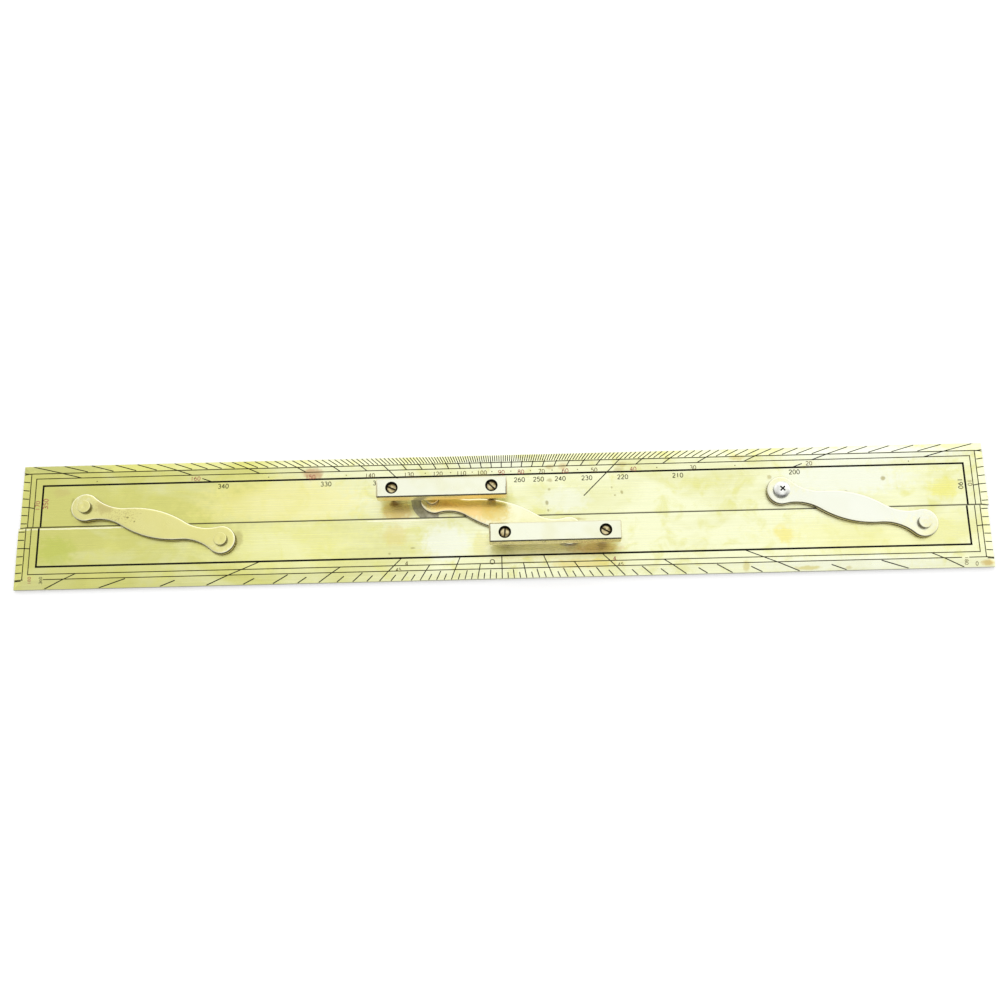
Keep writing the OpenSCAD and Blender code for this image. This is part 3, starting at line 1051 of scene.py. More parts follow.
@dataclass
class Pillar(Part):
    """A turned pillar under a grip bar, with a spigot riveted in the blade and eased ends."""

    spigot_r: float = 1.5
    foot: float = 3.0
    ease: float = 0.15
    ease_steps: int = 3

    def surface(self) -> Surface:
        """Turns the pillar's profile about its axis.

        Returns:
            A closed surface, in place.
        """
        box = seat(self.node)
        inner, top = box.half[0] - self.ease, box.high[2]
        low, high, steps = self.foot + self.ease, top - self.ease, self.ease_steps
        foot_r, foot_h = rounded(inner, low, self.ease, -90.0, 0.0, steps)
        head_r, head_h = rounded(inner, high, self.ease, 0.0, 90.0, steps)
        radii = np.concatenate([[0.0, self.spigot_r, self.spigot_r], foot_r, head_r, [0.0]])
        heights = np.concatenate([[0.0, 0.0, self.foot], foot_h, head_h, [top]])
        return turned(radii, heights, box.centre)


# Engraving


# A round stroke has a point about every so many degrees
ARC_STEP_DEG = 22


def arc_stroke(cx: float, cy: float, rx: float, ry: float, start: float, end: float) -> Array:
    """Gives a stroke along an ellipse, from one angle in degrees to another."""
    steps = max(3, int(abs(end - start) / ARC_STEP_DEG))
    return arc(cx, cy, rx, ry, np.radians(np.linspace(start, end, steps + 1)))


def line_stroke(*points: tuple[float, float]) -> Array:
    """Gives a straight or bent stroke through points."""
    return np.array(points)


# Single strokes of each numeral, as an engraver cuts them, in a box 0.62 wide and 1 high
STROKES: dict[str, tuple[Array, ...]] = {
    "0": (arc_stroke(0.31, 0.5, 0.31, 0.5, 90, 450),),
    "1": (line_stroke((0.31, 0.0), (0.31, 1.0)),),
    "2": (arc_stroke(0.31, 0.72, 0.28, 0.28, 165, -35), line_stroke((0.54, 0.56), (0.0, 0.0)),
          line_stroke((0.0, 0.0), (0.62, 0.0))),
    "3": (arc_stroke(0.29, 0.76, 0.26, 0.24, 150, -90),
          arc_stroke(0.29, 0.27, 0.31, 0.27, 90, -150)),
    "4": (line_stroke((0.46, 0.0), (0.46, 1.0)), line_stroke((0.46, 1.0), (0.0, 0.3)),
          line_stroke((0.0, 0.3), (0.62, 0.3))),
    "5": (line_stroke((0.55, 1.0), (0.1, 1.0)), line_stroke((0.1, 1.0), (0.07, 0.58)),
          arc_stroke(0.29, 0.32, 0.32, 0.32, 130, -150)),
    "6": (arc_stroke(0.31, 0.31, 0.31, 0.31, 90, 450),
          arc_stroke(0.62, 0.31, 0.62, 0.69, 180, 105)),
    "7": (line_stroke((0.0, 1.0), (0.62, 1.0)), line_stroke((0.62, 1.0), (0.2, 0.0))),
    "8": (arc_stroke(0.31, 0.76, 0.25, 0.24, 90, 450), arc_stroke(0.31, 0.26, 0.31, 0.26, 90, 450)),
    "9": (arc_stroke(0.31, 0.69, 0.31, 0.31, 90, 450), arc_stroke(0.0, 0.69, 0.62, 0.69, 0, -75)),
}
DIGIT_WIDTH = 0.62
DIGIT_PITCH = 0.86
# Width of a stroke as a share of the numeral's height
STROKE_SHARE = 0.17


@dataclass(frozen=True)
class Number:
    """A number on a scale: its text, place, height, turn, wax and how wide it is drawn."""

    text: str
    x: float
    y: float
    height: float = 1.9
    turn_deg: float = 0.0
    wax: Wax = Wax.WORN
    wide: float = 1.0

    def strokes(self) -> list[Array]:
        """Gives the number's strokes in place, centred on it.

        Returns:
            One array of points for each stroke.
        """
        middle = ((len(self.text) - 1) * DIGIT_PITCH + DIGIT_WIDTH) / 2
        scale = np.array([self.height * self.wide, self.height])
        turn = turn_by(self.turn_deg)
        return [((stroke + (i * DIGIT_PITCH - middle, -0.5)) * scale) @ turn + (self.x, self.y)
                for i, digit in enumerate(self.text) for stroke in STROKES[digit]]


def left_of(way: Array) -> Array:
    """Gives unit normals on the left of rows of directions."""
    way = way / np.linalg.norm(way, axis=1, keepdims=True)
    return np.stack([-way[:, 1], way[:, 0]], 1)


@dataclass
class Lines:
    """Straight engraved lines: their ends, their width and where each one bends over a crest."""

    start: Array
    end: Array
    width: Array
    bend: Array

    @classmethod
    def join(cls, parts: list["Lines"]) -> "Lines":
        """Puts several sets of lines into one."""
        keys = ("start", "end", "width", "bend")
        return cls(*(np.concatenate([getattr(part, key) for part in parts]) for key in keys))

    def fill(self, height: Height, sink: float, depth: float) -> Surface:
        """Fills the lines with wax.

        Each line is a rectangle carried through three stations, its start, its bend and its
        end, with the top a little below the brass and the foot below the groove's floor.

        Args:
            height: The height of the brass at a place.
            sink: How far the wax lies below the brass.
            depth: How far down the wax goes.

        Returns:
            One closed block for each line.
        """
        count = len(self.bend)
        share = np.stack([np.zeros(count), self.bend, np.ones(count)], 1)[..., None]
        along = self.end - self.start
        centre = self.start[:, None] + share * along[:, None]
        across = left_of(along)[:, None] * (self.width[:, None, None] / 2)
        brass = height(centre[..., 0], centre[..., 1])[..., None]
        corners = [np.concatenate([centre + side * across, brass - down], -1)
                   for side, down in ((1, sink), (-1, sink), (-1, depth), (1, depth))]
        ring = np.array([[0, 1, 5, 4], [1, 2, 6, 5], [2, 3, 7, 6], [3, 0, 4, 7]])
        block = np.concatenate([ring, ring + 4, [[3, 2, 1, 0], [8, 9, 10, 11]]])
        quads = (block[None] + np.arange(count)[:, None, None] * 12).reshape(-1, 4)
        return Surface(np.stack(corners, 2).reshape(-1, 3), quads, np.zeros(len(quads), int))


def ribbon(path: Array, width: float, height: Height, lift: float = 0.006,
           sunk: float = 0.05) -> Surface:
    """Carries a flat rectangle along a stroke that lies on the brass.

    The two sides stand half a width from the path, along its normal, and the top lies a
    lift above the brass.

    Args:
        path: Points of the stroke.
        width: Width of the stroke.
        height: The height of the brass at a place.
        lift: How far the wax stands above the brass.
        sunk: How far its foot lies below the brass.

    Returns:
        One closed ribbon.
    """
    across = left_of(np.gradient(path, axis=0)) * (width / 2)
    left, right = path + across, path - across
    corners = [np.column_stack([p, height(p[:, 0], p[:, 1]) + z])
               for p, z in ((left, lift), (right, lift), (right, -sunk), (left, -sunk))]
    tube = Surface.grid(np.stack(corners + corners[:1], 1))
    last = (len(path) - 1) * 5
    caps = np.array([[0, 1, 2, 3], [last + 3, last + 2, last + 1, last]])
    return Surface(tube.points, np.concatenate([tube.quads, caps]), np.append(tube.marks, [0, 0]))


@dataclass(kw_only=True)
class Blade:
    """One blade and its engraving. The node keeps its own mesh, with the cut grooves."""

    node: str
    # Which way the blade lies from the seam, 1 or -1
    up: float
    bevel: float
    edge: float = 1.6
    end_bevel: float = 3.6
    line_w: float = 0.45
    frame_w: float = 0.9
    second_band: float = 3.0
    number_band: float = 3.6
    # How far lines stay inside the blade's edges, and the corners of leaning ticks
    margin: float = 0.1
    corner_margin: float = 0.02
    # How far along a tick its bend may lie
    bend_limits: Span = (0.1, 0.9)
    dot: float = 0.5
    # How far down the wax goes, and how far below the brass it lies
    wax_depth: float = 0.2
    tick_sink: float = 0.025
    thin_sink: float = 0.03
    heavy_sink: float = 0.02
    # Pairs of places between which the first frame line is left out
    breaks: tuple[float, ...] = ()
    x: float = field(init=False)
    length: float = field(init=False)
    thickness: float = field(init=False)
    ruling_y: float = field(init=False)
    seam_y: float = field(init=False)
    # How far in from the edges the second and the heavy frame line lie
    second: float = field(init=False)
    heavy: float = field(init=False)
    end_second: float = field(init=False)

    def __post_init__(self) -> None:
        """Reads the blade's place and size from its node."""
        box = seat(self.node)
        self.x, self.length, self.thickness = box.centre[0], 2 * box.half[0], box.high[2]
        far, near = (box.high[1], box.low[1]) if self.up > 0 else (box.low[1], box.high[1])
        self.ruling_y, self.seam_y = far, near
        self.second = self.bevel + self.second_band
        self.heavy = self.second + self.number_band
        self.end_second = self.end_bevel + self.second_band

    def height(self, x: Array, y: Array) -> Array:
        """Gives the height of the brass: the flat, or the lower of the two bevels.

        Args:
            x: Places along the rule.
            y: Places across the rule.

        Returns:
            The height at each place.
        """
        rise = self.thickness - self.edge
        from_edge = np.abs(y - self.ruling_y) * rise / self.bevel
        from_end = (self.length / 2 - np.abs(x - self.x)) * rise / self.end_bevel
        return self.edge + np.clip(np.minimum(from_edge, from_end), 0.0, rise)

    def edge_ticks(self, x: Array, lean: Array, reach: Array, start: float = 0.0) -> Lines:
        """Lays ticks in from the ruling edge.

        A point of a tick at a square distance d from the edge stands at x + d tan(lean). A
        leaning tick begins far enough in to keep its corners on the brass.

        Args:
            x: Where each tick meets the edge, from the blade's middle.
            lean: Tangent of each tick's lean.
            reach: How far each tick runs in, square to the edge.
            start: How far in the ticks begin, if not at the edge.

        Returns:
            The ticks, bent where they cross the crest of the bevel.
        """
        corner = self.corner_margin + self.line_w / 2 * np.abs(lean) / np.sqrt(1 + lean ** 2)
        begin = np.maximum(np.maximum(self.margin, corner), start)
        ends = [np.stack([self.x + x + d * lean, self.ruling_y - self.up * d], 1)
                for d in (begin, reach)]
        bend = np.clip((self.bevel - begin) / (reach - begin), *self.bend_limits)
        return Lines(ends[0], ends[1], np.full(len(x), self.line_w), bend)

    def end_ticks(self, y: Array, slope: Array, reach: Array) -> Lines:
        """Lays ticks in from both ends.

        Args:
            y: Where each tick meets the end.
            slope: How fast each tick falls towards the middle.
            reach: How far each tick runs in.

        Returns:
            The ticks of both ends, bent where they cross the crest of the bevel.
        """
        begin = np.full(len(y), self.margin)
        bend = np.clip((self.end_bevel - begin) / (reach - begin), *self.bend_limits)
        parts = []
        for side in (1.0, -1.0):
            ends = [np.stack([self.x + side * (self.length / 2 - d), y - d * slope], 1)
                    for d in (begin, reach)]
            parts.append(Lines(ends[0], ends[1], np.full(len(y), self.line_w), bend))
        return Lines.join(parts)

    def end_degrees(self, first: int, last: int) -> Lines:
        """Lays the degree ticks of both ends, which point at the middle of the lower edge.

        Args:
            first: The lowest degree.
            last: The highest degree.

        Returns:
            Ticks at every degree, longer at each fifth.
        """
        degree = np.arange(first, last + 1)
        rise = np.tan(np.radians(degree))
        reach = np.where(degree % 5 == 0, self.end_second, self.end_bevel)
        return self.end_ticks(seat("lower_blade").low[1] + self.length / 2 * rise, rise, reach)

    def frame_line(self, inset: float, width: float, breaks: tuple[float, ...] = ()) -> Lines:
        """Lays one frame line along the ruling edge and both ends.

        Args:
            inset: How far the line lies inside the bevels.
            width: Width of the line.
            breaks: Pairs of places between which the long run is left out.

        Returns:
            The straight runs of the line.
        """
        end_x = self.length / 2 - self.end_bevel - inset
        run_y = self.ruling_y - self.up * (self.bevel + inset)
        seam_y = self.seam_y + self.up * self.margin
        stops = np.array([-end_x - width / 2, *breaks, end_x + width / 2]).reshape(-1, 2) + self.x
        runs = np.full(len(stops), run_y)
        sides_x = np.array([self.x - end_x, self.x + end_x])
        start = np.concatenate([np.stack([stops[:, 0], runs], 1),
                                np.stack([sides_x, np.full(2, seam_y)], 1)])
        end = np.concatenate([np.stack([stops[:, 1], runs], 1),
                              np.stack([sides_x, np.full(2, run_y)], 1)])
        return Lines(start, end, np.full(len(start), width), np.full(len(start), 0.5))

    def thin_lines(self) -> Lines:
        """Lays the first two frame lines, the first one carried over both end bevels.

        Returns:
            The runs of both lines.
        """
        run_y = np.array([self.ruling_y - self.up * (self.bevel + self.line_w)])
        crossing = self.end_ticks(run_y, np.zeros(1), np.array([self.end_bevel + self.line_w]))
        return Lines.join([self.frame_line(self.line_w, self.line_w, self.breaks),
                           self.frame_line(self.second_band, self.line_w), crossing])

    def ticks(self) -> Lines:
        """Gives the blade's ticks."""
        raise NotImplementedError

    def numbers(self) -> list[Number]:
        """Gives the blade's numbers."""
        raise NotImplementedError

    def dots(self) -> list[Span]:
        """Gives the places of the small dots between numbers."""
        return []

    def number_wax(self, wax: Wax) -> list[Surface]:
        """Gives the strokes of the numbers in one wax, and the dots with the worn ones.

        Args:
            wax: Which wax.

        Returns:
            A closed ribbon for each stroke and dot.
        """
        strokes = [ribbon(stroke, STROKE_SHARE * number.height, self.height)
                   for number in self.numbers() if number.wax is wax for stroke in number.strokes()]
        half = np.array([[-self.dot / 2, 0.0], [0.0, 0.0], [self.dot / 2, 0.0]])
        places = self.dots() if wax is Wax.WORN else []
        return strokes + [ribbon(half + place, self.dot, self.height) for place in places]

    def dress(self, brass: Material, waxes: dict[Wax, Material]) -> None:
        """Finishes the blade and fills its engraving.

        Args:
            brass: The finish of the plate.
            waxes: The finish of each wax.
        """
        cover(self.node, brass)
        node = frame["nodes"][self.node]
        heavy = self.frame_line(self.second_band + self.number_band, self.frame_w)
        cuts = (("tick_wax", self.ticks(), self.tick_sink, Wax.BLACK),
                ("thin_line_wax", self.thin_lines(), self.thin_sink, Wax.DARK),
                ("heavy_line_wax", heavy, self.heavy_sink, Wax.BLACK))
        fillings = [(name, lines.fill(self.height, sink, self.wax_depth), wax)
                    for name, lines, sink, wax in cuts]
        for wax in (Wax.DARK, Wax.WORN, Wax.RED):
            strokes = self.number_wax(wax)
            if strokes:
                fillings.append((f"{wax.value}_numbers", Surface.join(strokes), wax))
        for name, surface, wax in fillings:
            piece = surface.piece(f"{self.node}_{name}", (waxes[wax],))
            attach(piece, node["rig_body"])


@dataclass(kw_only=True)
class UpperBlade(Blade):
    """The blade with the degree scale, whose ticks point at the middle of the lower edge."""

    node: str = "upper_blade"
    up: float = 1.0
    bevel: float = 3.6
    radial_reach: float = 21.6
    outer_y: float = 21.2
    inner_y: float = 17.2
    dot_y: float = 21.6
    # How high above the lower edge each row meets the rays of its degrees
    outer_drop: float = 52.5
    inner_drop: float = 48.2
    dot_drop: float = 51.7
    # How fast the rows of numbers rise towards the ends, and where the outer one begins to
    outer_rise: float = 0.011
    inner_rise: float = 0.0035
    rise_from: float = 90.0
    inner_height: float = 2.1
    red: tuple[int, ...] = (40, 60, 80, 90, 150, 160)
    # Numbers that stand off their ray, and how far
    moved: dict[int, float] = field(default_factory=lambda: {200: 6.2, 320: -1.2})

    def fan(self, degrees: float, drop: float) -> float:
        """Gives where a ray from the lower edge's middle stands at a height above that edge."""
        return self.x + drop / math.tan(math.radians(degrees))

    def ticks(self) -> Lines:
        """Lays the degree ticks of the ruling edge and both ends.

        Returns:
            Ticks at every degree, longer at each fifth, with two long rays and two tails.
        """
        span = self.ruling_y - seat("lower_blade").low[1]
        degree = np.arange(15, 166)
        tangent = np.tan(np.radians(degree))
        reach = np.select([np.isin(degree, (45, 135)), degree % 5 == 0],
                          [self.radial_reach, self.second], self.bevel)
        tails = np.tan(np.radians([20.0, 160.0]))
        tail_start = self.second + self.number_band / 2
        return Lines.join([
            self.edge_ticks(span / tangent, -1 / tangent, reach),
            self.edge_ticks(span / tails, -1 / tails, np.full(2, self.heavy), tail_start),
            self.end_degrees(8, 14)])

    def numbers(self) -> list[Number]:
        """Lays two rows of degrees along the scale and one pair at each end.

        Returns:
            Numbers from 20 to 160 above the heavy line and from 200 to 340 below it.
        """
        rows = []
        for a in range(20, 170, 10):
            x = self.fan(a, self.outer_drop)
            rise = max(abs(x) - self.rise_from, 0.0) * self.outer_rise
            wax = Wax.RED if a in self.red else Wax.WORN
            x *= 1 + rise / self.outer_drop
            rows.append(Number(str(a), x, self.outer_y + rise, wax=wax))
        for a in range(200, 350, 10):
            x = self.fan(a - 180, self.inner_drop) + self.moved.get(a, 0.0)
            y = self.inner_y + self.inner_rise * abs(x)
            rows.append(Number(str(a), x, y, self.inner_height, wax=Wax.DARK))
        return rows + [
            Number("170", -220.2, 10.2, 1.9, 90.0, Wax.RED),
            Number("350", -216.4, 11.0, 2.1, 90.0, Wax.RED),
            Number("10", 220.9, 10.2, 1.9, -90.0),
            Number("190", 216.4, 9.9, 2.1, -90.0, Wax.DARK)]

    def dots(self) -> list[Span]:
        """Lays a dot halfway between two numbers."""
        halves = [a for a in range(15, 170, 10) if a not in (45, 135)]
        return [(self.fan(a, self.dot_drop), self.dot_y) for a in halves]


@dataclass(kw_only=True)
class LowerBlade(Blade):
    """The blade with the points scale, whose ticks aim at one point near the upper edge."""

    node: str = "lower_blade"
    up: float = -1.0
    bevel: float = 4.0
    breaks: tuple[float, ...] = (-224.1, -214.7, 213.2, 216.6)
    aim: float = 57.4
    quarter_point: float = 360 / 128
    short_tick: float = 2.7
    index_room: float = 14.1
    index_lean: float = 65.0

    def ticks(self) -> Lines:
        """Lays the quarter points, the two index lines and the degree ticks of both ends.

        Returns:
            Ticks in four lengths, the longest at every second point.
        """
        widest = math.degrees(math.atan2(self.length / 2 - self.end_bevel, self.aim))
        last = int(widest / self.quarter_point)
        k = np.arange(-last, last + 1)
        slope = np.tan(np.radians(k * self.quarter_point))
        reach = np.select([k % 8 == 0, k % 4 == 0, k % 2 == 0],
                          [self.heavy, self.second, self.bevel], self.short_tick)
        index = np.array([-1.0, 1.0])
        index_x = self.length / 2 - self.index_room
        lean = math.tan(math.radians(self.index_lean))
        return Lines.join([
            self.edge_ticks(self.aim * slope, -slope, reach),
            self.edge_ticks(index * index_x, -index * lean, np.full(2, self.second)),
            self.end_degrees(1, 7)])

    def numbers(self) -> list[Number]:
        """Gives the numbers of the points scale and those at both ends."""
        return [Number("0", -4.8, -22.4, 2.2, wax=Wax.DARK, wide=1.5),
                Number("4", -44.8, -22.2), Number("45", -48.6, -25.1, 1.6),
                Number("4", 52.2, -22.2, wax=Wax.RED), Number("45", 54.9, -25.1, 1.6),
                Number("180", -221.4, -26.0, 1.4, 90.0, Wax.RED),
                Number("360", -216.1, -26.1, 1.4, 90.0, Wax.DARK),
                Number("180", 215.0, -27.2, 1.5, -90.0), Number("0", 219.8, -28.6, 1.7)]


# Stage


@dataclass(frozen=True)
class Lamp:
    """A soft lamp that hangs over the rule and shines straight down, in metres."""

    name: str
    place: tuple[float, float, float]
    size: Span
    radiance: float

    def build(self) -> None:
        """Makes the lamp, whose watts are its radiance times its area times pi."""
        data = bpy.data.lights.new(self.name, "AREA")
        data.shape = "RECTANGLE"
        data.size, data.size_y = self.size
        data.energy = self.radiance * math.pi * self.size[0] * self.size[1]
        put(self.name, data).location = Vector(self.place)


@dataclass
class Studio:
    """The camera, the lamps, the floor and the soft surround, the floor's sizes in metres."""

    camera_mm: tuple[float, float, float] = (5.99, -157.76, 579.78)
    camera_turn: tuple[float, float, float] = (0.27897, 0.0109912, -0.0248892)
    clip_mm: float = 10.0
    focal_px: float = 1269.98
    image_px: float = 1000.0
    sensor_mm: float = 36.0
    floor_half: float = 3.0
    floor_drop: float = 0.0002
    lamps: tuple[Lamp, ...] = (
        Lamp("middle_softbox", (0.02, -0.1, 1.0), (0.24, 1.0), 0.08),
        Lamp("right_softbox", (0.455, -0.1, 1.0), (0.23, 1.0), 0.08))
    # How bright the surround is, by the way a ray goes along each axis, and how much of it
    # is the even light from overhead
    across: Ramp = (-0.42, -0.15, 0.93, 1.15)
    around: Ramp = (-0.95, 0.45, 0.03, 1.25)
    overhead: Ramp = (0.5, 0.8, 0.0, 1.0)

    def set_camera(self) -> None:
        """Places the camera at the photograph's angle, with its turns in the order Z, Y, X."""
        data = bpy.data.cameras.new("camera")
        data.sensor_width = self.sensor_mm
        data.lens = self.focal_px / self.image_px * self.sensor_mm
        data.clip_start = self.clip_mm * MM
        camera = put("camera", data)
        camera.rotation_mode = "ZYX"
        camera.rotation_euler = self.camera_turn
        camera.location = Vector(self.camera_mm) * MM
        bpy.context.scene.camera = camera

    def set_floor(self) -> None:
        """Lays a plain sheet of white paper under the rule, which keeps its soft shadow."""
        half, z = self.floor_half, -self.floor_drop
        corners = [(-half, -half, z), (half, -half, z), (half, half, z), (-half, half, z)]
        mesh = bpy.data.meshes.new("floor")
        mesh.from_pydata(corners, [], [(0, 1, 2, 3)])
        mesh.materials.append(WhitePaper("white_paper").build())
        floor = put("floor", mesh)

    def set_surround(self) -> None:
        """Makes a soft surround: dimmer to the left, bright behind the rule, dim in front."""
        world = bpy.context.scene.world or bpy.data.worlds.new("surround")
        bpy.context.scene.world = world
        world.use_nodes = True
        tree = world.node_tree
        tree.nodes.clear()
        way = add(tree, SPLIT, [add(tree, COORDS).outputs["Generated"]]).outputs
        ramps = (self.across, self.around, self.overhead)
        across, around, overhead = (add(tree, RANGE, [axis, *ramp], **SOFT)
                                    for axis, ramp in zip(way, ramps))
        level = add(tree, MIX, {0: overhead, 2: around, 3: 1.0})
        strength = add(tree, MATH, [across, level], operation="MULTIPLY")
        soft, white = (add(tree, "ShaderNodeBackground", {"Color": WHITE, "Strength": light})
                       for light in (strength, 1.0))
        seen = add(tree, "ShaderNodeLightPath").outputs["Is Camera Ray"]
        both = add(tree, "ShaderNodeMixShader", [seen, soft, white])
        add(tree, "ShaderNodeOutputWorld", {"Surface": both})

    def build(self) -> None:
        """Makes the whole stage."""
        self.set_camera()
        self.set_floor()
        self.set_surround()
        for lamp in self.lamps:
            lamp.build()
        bpy.context.scene.view_settings.view_transform = "Standard"


# The rule


# Marks on the upper blade, and patches of painted light and shade
UPPER_STAINS_AND_PAINTED_LIGHT = (
    # Paler yellow over the middle of the left half: painted light
    Stain(-105.0, 9.0, 48.0, 14.0, "#f0e78e", 0.45),
    # Near white patches on the flat and the bevel: painted highlights
    Stain(162.0, 14.0, 36.0, 10.0, "#e9ecda", 0.85),
    Stain(176.0, 26.0, 52.0, 5.0, "#ebeee2", 0.7),
    Stain(-2.0, 26.0, 22.0, 4.5, "#e9ecda", 0.6),
    Stain(30.0, 7.0, 14.0, 7.0, "#e9ecda", 0.6),
    # Darker olive on the bevel at the left end: painted shade
    Stain(-212.0, 28.4, 30.0, 3.0, "#aaac68", 0.6),
    # Stains and pits
    Stain(-89.4, 22.6, 5.5, 3.6, "#b98456", 0.65),
    Stain(23.2, 23.2, 2.4, 1.4, "#b59a55", 0.5),
    Stain(29.5, 23.4, 2.6, 1.8, "#c39a58", 0.45),
    Stain(57.6, 23.6, 3.8, 1.6, "#b5a458", 0.45),
    Stain(55.8, 21.1, 3.0, 1.2, "#a99a58", 0.45),
    Stain(112.4, 25.6, 4.2, 1.8, "#cab850", 0.5),
    Stain(208.9, 8.0, 9.0, 6.0, "#e4df66", 0.6),
    Stain(-209.0, 16.4, 5.0, 2.4, "#c9bb74", 0.45),
    Stain(-195.0, 4.6, 8.0, 7.2, "#b7ad66", 0.45),
    Stain(57.0, 9.8, 0.8, 1.0, "#9b9254", 0.7),
    # A golden patch under the grip bar: painted warm reflection
    Stain(52.4, 12.3, 0.6, 0.6, "#a39a5e", 0.6),
    # A dark spot at the foot of the pillar: painted shadow
    Stain(53.7, 8.5, 0.7, 0.5, "#9b9254", 0.6),
    # A soft dark mark by the left end of the left link
    Stain(23.2, 16.6, 1.8, 1.0, "#a3955c", 0.55),
    Stain(22.8, 12.1, 0.8, 0.8, "#a39a5e", 0.6),
    Stain(21.5, 5.5, 1.0, 1.3, "#8f8650", 0.65),
    Stain(22.0, 1.9, 0.6, 0.8, "#8f8650", 0.65),
    Stain(151.4, 6.8, 0.7, 0.7, "#9b9254", 0.6),
    Stain(162.6, 7.6, 0.7, 0.6, "#9b9254", 0.55),
    Stain(180.4, 13.6, 1.3, 1.2, "#a79d5e", 0.75),
    Stain(126.9, 15.5, 1.5, 1.3, "#b3a86a", 0.6),
    Stain(-49.5, 3.6, 8.5, 6.4, "#d6b664", 0.6),
    Stain(-50.5, 6.6, 2.6, 1.5, "#7d5518", 0.65),
    Stain(-203.2, 8.9, 1.4, 4.4, "#6f6a34", 0.5),
)
# Marks on the lower blade, and patches of painted light and shade
LOWER_STAINS_AND_PAINTED_LIGHT = (
    # Paler yellow patches over the middle of the left half and at the right: painted light
    Stain(-105.0, -12.0, 50.0, 14.0, "#eeec98", 0.4),
    Stain(175.0, -13.0, 60.0, 12.0, "#e9e7a0", 0.5),
    # Near white patches on the bevel and the flat: painted highlights
    Stain(160.0, -27.0, 52.0, 4.5, "#ebeee0", 0.55),
    Stain(-26.0, -12.5, 13.0, 10.0, "#e9ecda", 0.8),
    # Pale under the lower grip bar, where shade falls: painted light
    Stain(24.0, -13.0, 34.0, 6.5, "#fbf8da", 0.85),
    # Stains
    Stain(43.0, -17.0, 14.0, 3.5, "#cfa04e", 0.5),
    Stain(-50.0, -8.5, 7.0, 6.0, "#dccb78", 0.45),
    Stain(-10.0, -14.0, 4.5, 7.0, "#e0da8c", 0.5),
    Stain(131.6, -12.6, 5.5, 5.0, "#e8da64", 0.55),
    Stain(38.0, -24.3, 18.0, 2.6, "#e0cb62", 0.55),
    Stain(113.1, -27.4, 1.8, 3.0, "#c6b648", 0.5),
    Stain(141.4, -28.7, 7.0, 1.1, "#c8ba48", 0.6),
    Stain(225.0, -28.3, 3.6, 1.6, "#c6a646", 0.7),
    Stain(160.6, -29.0, 1.8, 0.9, "#c4b86c", 0.5),
    Stain(-210.0, -12.0, 11.0, 8.0, "#bcc654", 0.6),
    Stain(-124.0, -8.2, 2.6, 5.0, "#a89f60", 0.5),
    Stain(31.5, -2.9, 8.5, 1.0, "#b6a45e", 0.55),
    # Pale lines along the seam edge: painted highlights
    Stain(-200.0, -1.4, 42.0, 0.45, "#fbf9d4", 0.85),
    Stain(-47.0, -1.4, 22.0, 0.45, "#fdfbe0", 0.8),
    # Pits
    Stain(-52.7, -17.4, 0.8, 0.6, "#9b9254", 0.55),
    Stain(-41.8, -14.9, 1.2, 0.5, "#9b9254", 0.6),
)
# The links and their pins share these: an olive patina at the left, golden in the middle,
# painted warm reflection of the grips above, and a near white painted highlight at the right
LINK_PATINA_AND_SHEEN = (
    Stain(-164.0, -0.6, 90.0, 26.0, "#dcd684", 0.85),
    Stain(-19.0, 4.0, 20.0, 10.0, "#f2cc74", 0.75),
    Stain(160.0, -0.6, 60.0, 16.0, "#e6e9e0", 0.8),
)
LINK_STAINS_AND_SHEEN = LINK_PATINA_AND_SHEEN + (
    # Golden by the lower grip bar: painted warm reflection
    Stain(-3.0, 0.5, 8.0, 6.0, "#dcc050", 0.6),
    # Patina, specks and pits at the left link's end
    Stain(-187.0, 8.4, 6.0, 4.2, "#b4a468", 0.55),
    Stain(-178.0, 3.6, 9.0, 5.0, "#b0a26c", 0.45, 0.8),
    Stain(-176.0, 2.6, 0.8, 0.5, "#6b5f30", 0.7),
    Stain(-172.6, 0.6, 0.5, 0.4, "#6b5f30", 0.6),
)
# Dark lines along the ends of the bars
BAR_END_LINES = (
    Stain(2.6, 7.2, 0.5, 7.0, "#4a3a14", 0.8),
    Stain(-57.2, 7.2, 0.5, 7.0, "#6e6238", 0.55),
    Stain(-5.4, -12.8, 0.5, 7.0, "#4a3a14", 0.75),
)
WAX_STAINS = (Stain(-10.5, 19.95, 6.5, 1.4, "#8f8a5c", 0.6),)


